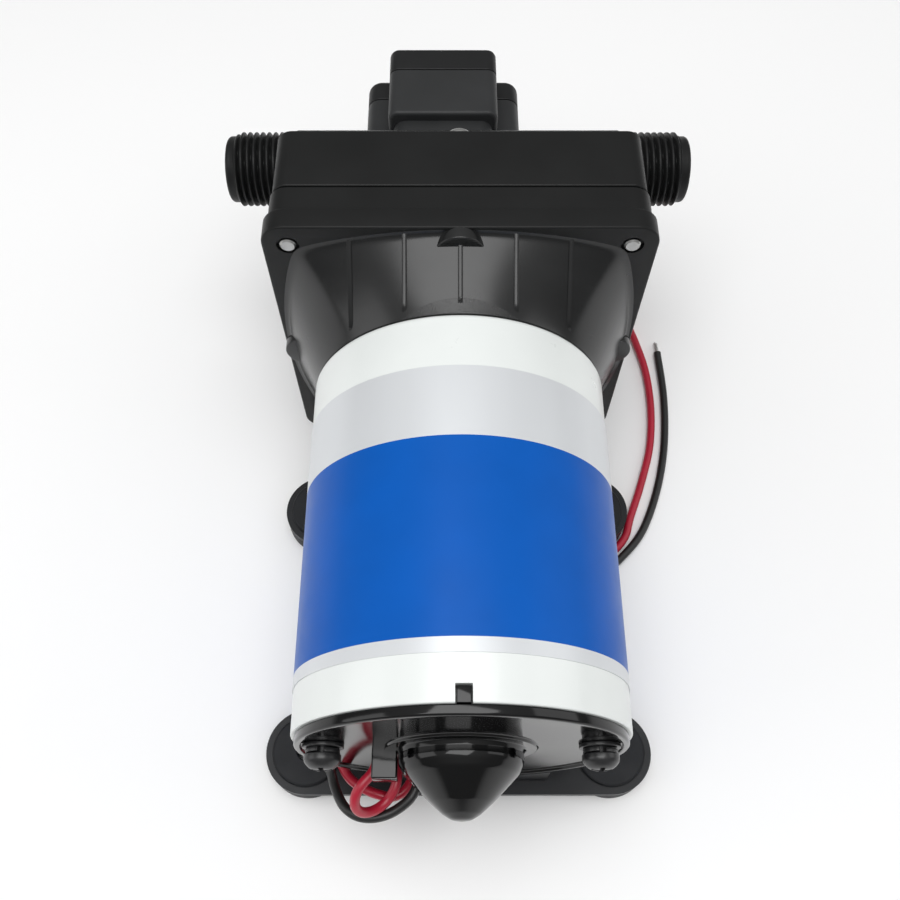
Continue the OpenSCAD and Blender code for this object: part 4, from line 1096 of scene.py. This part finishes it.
for name, material, edge in (
        ("valve_ring", BLACK_PLASTIC, 0.45),
        ("rear_crossbar", BAR_COAT, 0.5), ("front_crossbar", BAR_COAT, 0.5),
        ("foot_rear_left", FOOT_RUBBER, 0.4), ("foot_rear_right", FOOT_RUBBER, 0.4),
        ("foot_front_left", FOOT_RUBBER, 0.4), ("foot_front_right", FOOT_RUBBER, 0.4),
        ("wire_bush", RUBBER, 0.2), ("switch_terminal", BRASS, 0.15), ("adjuster_screw", BRASS, 0.15),
        ("switch_screws", ZINC, 0.12), ("micro_switch", SWITCH_PLASTIC, 0.2)):
    dress(name, material, edge)

for name, material in (
        ("rear_bush", BRONZE), ("brush_card", PHENOLIC), ("brush_boxes", BRASS), ("brush_left", CARBON),
        ("brush_right", CARBON), ("magnets", FERRITE), ("motor_shaft", STEEL), ("armature_core", STEEL),
        ("armature_winding", COPPER), ("commutator", COPPER), ("front_bearing_outer", STEEL),
        ("front_bearing_inner", STEEL), ("bearing_balls", STEEL), ("drive_cam", STEEL),
        ("cam_bearing", STEEL), ("wobble_plate", PALE_PLASTIC), ("piston_caps", PALE_PLASTIC),
        ("piston_screws", ZINC), ("inlet_valves", VALVE_RUBBER), ("outlet_valve", VALVE_RUBBER),
        ("head_seal", RUBBER), ("switch_diaphragm", RUBBER), ("switch_plunger", PALE_PLASTIC),
        ("micro_switch_button", BUTTON_RED)):
    dress(name, material)


# Studio

def grey(value):
    return (value, value, value)


def make_floor():
    """A wide sheet of white paper."""
    radius, count = 3.0, 96
    mesh = bpy.data.meshes.new("floor")
    mesh.from_pydata([(radius * c, radius * s, 0.0) for c, s in circle(count)], [], [tuple(range(count))])
    floor = bpy.data.objects.new("floor", mesh)
    scene.collection.objects.link(floor)
    material, tree, shader = new_material("floor_paper")
    tint = ramp(tree, noise(tree, 3.0, 2.0), [(0.3, grey(0.93)), (0.7, grey(0.95))])
    tree.links.new(tint, shader.inputs["Base Color"])
    shader.inputs["Roughness"].default_value = 0.85
    shader.inputs["Specular IOR Level"].default_value = 0.1
    mesh.materials.append(material)


def make_world():
    """A room that is brighter overhead than at the horizon."""
    world = bpy.data.worlds.new("studio")
    scene.world = world
    world.use_nodes = True
    tree = world.node_tree
    background = tree.nodes["Background"]
    where = tree.nodes.new("ShaderNodeTexCoord")
    axes = tree.nodes.new("ShaderNodeSeparateXYZ")
    tree.links.new(where.outputs["Generated"], axes.inputs["Vector"])
    sky = ramp(tree, axes.outputs["Z"], [(0.0, grey(0.32)), (0.4, grey(0.45)), (0.9, grey(0.9))])
    tree.links.new(sky, background.inputs["Color"])
    background.inputs["Strength"].default_value = 0.7


def make_light(name, place, aim, size, energy):
    """A square softbox turned to a point."""
    data = bpy.data.lights.new(name, "AREA")
    data.shape = "SQUARE"
    data.size = size
    data.energy = energy
    lamp = bpy.data.objects.new(name, data)
    scene.collection.objects.link(lamp)
    lamp.location = place
    lamp.rotation_euler = (Vector(aim) - Vector(place)).to_track_quat("-Z", "Y").to_euler()


scene.view_settings.view_transform = "Standard"
make_floor()
make_world()
make_light("top_softbox", (-0.04, -0.08, 0.95), (0.0, 0.03, 0.05), size=0.7, energy=5.4)
make_light("left_softbox", (-0.9, -0.15, 0.45), (0.0, 0.02, 0.05), size=0.6, energy=1.6)
make_light("right_softbox", (0.9, 0.1, 0.5), (0.0, 0.02, 0.05), size=0.6, energy=1.2)
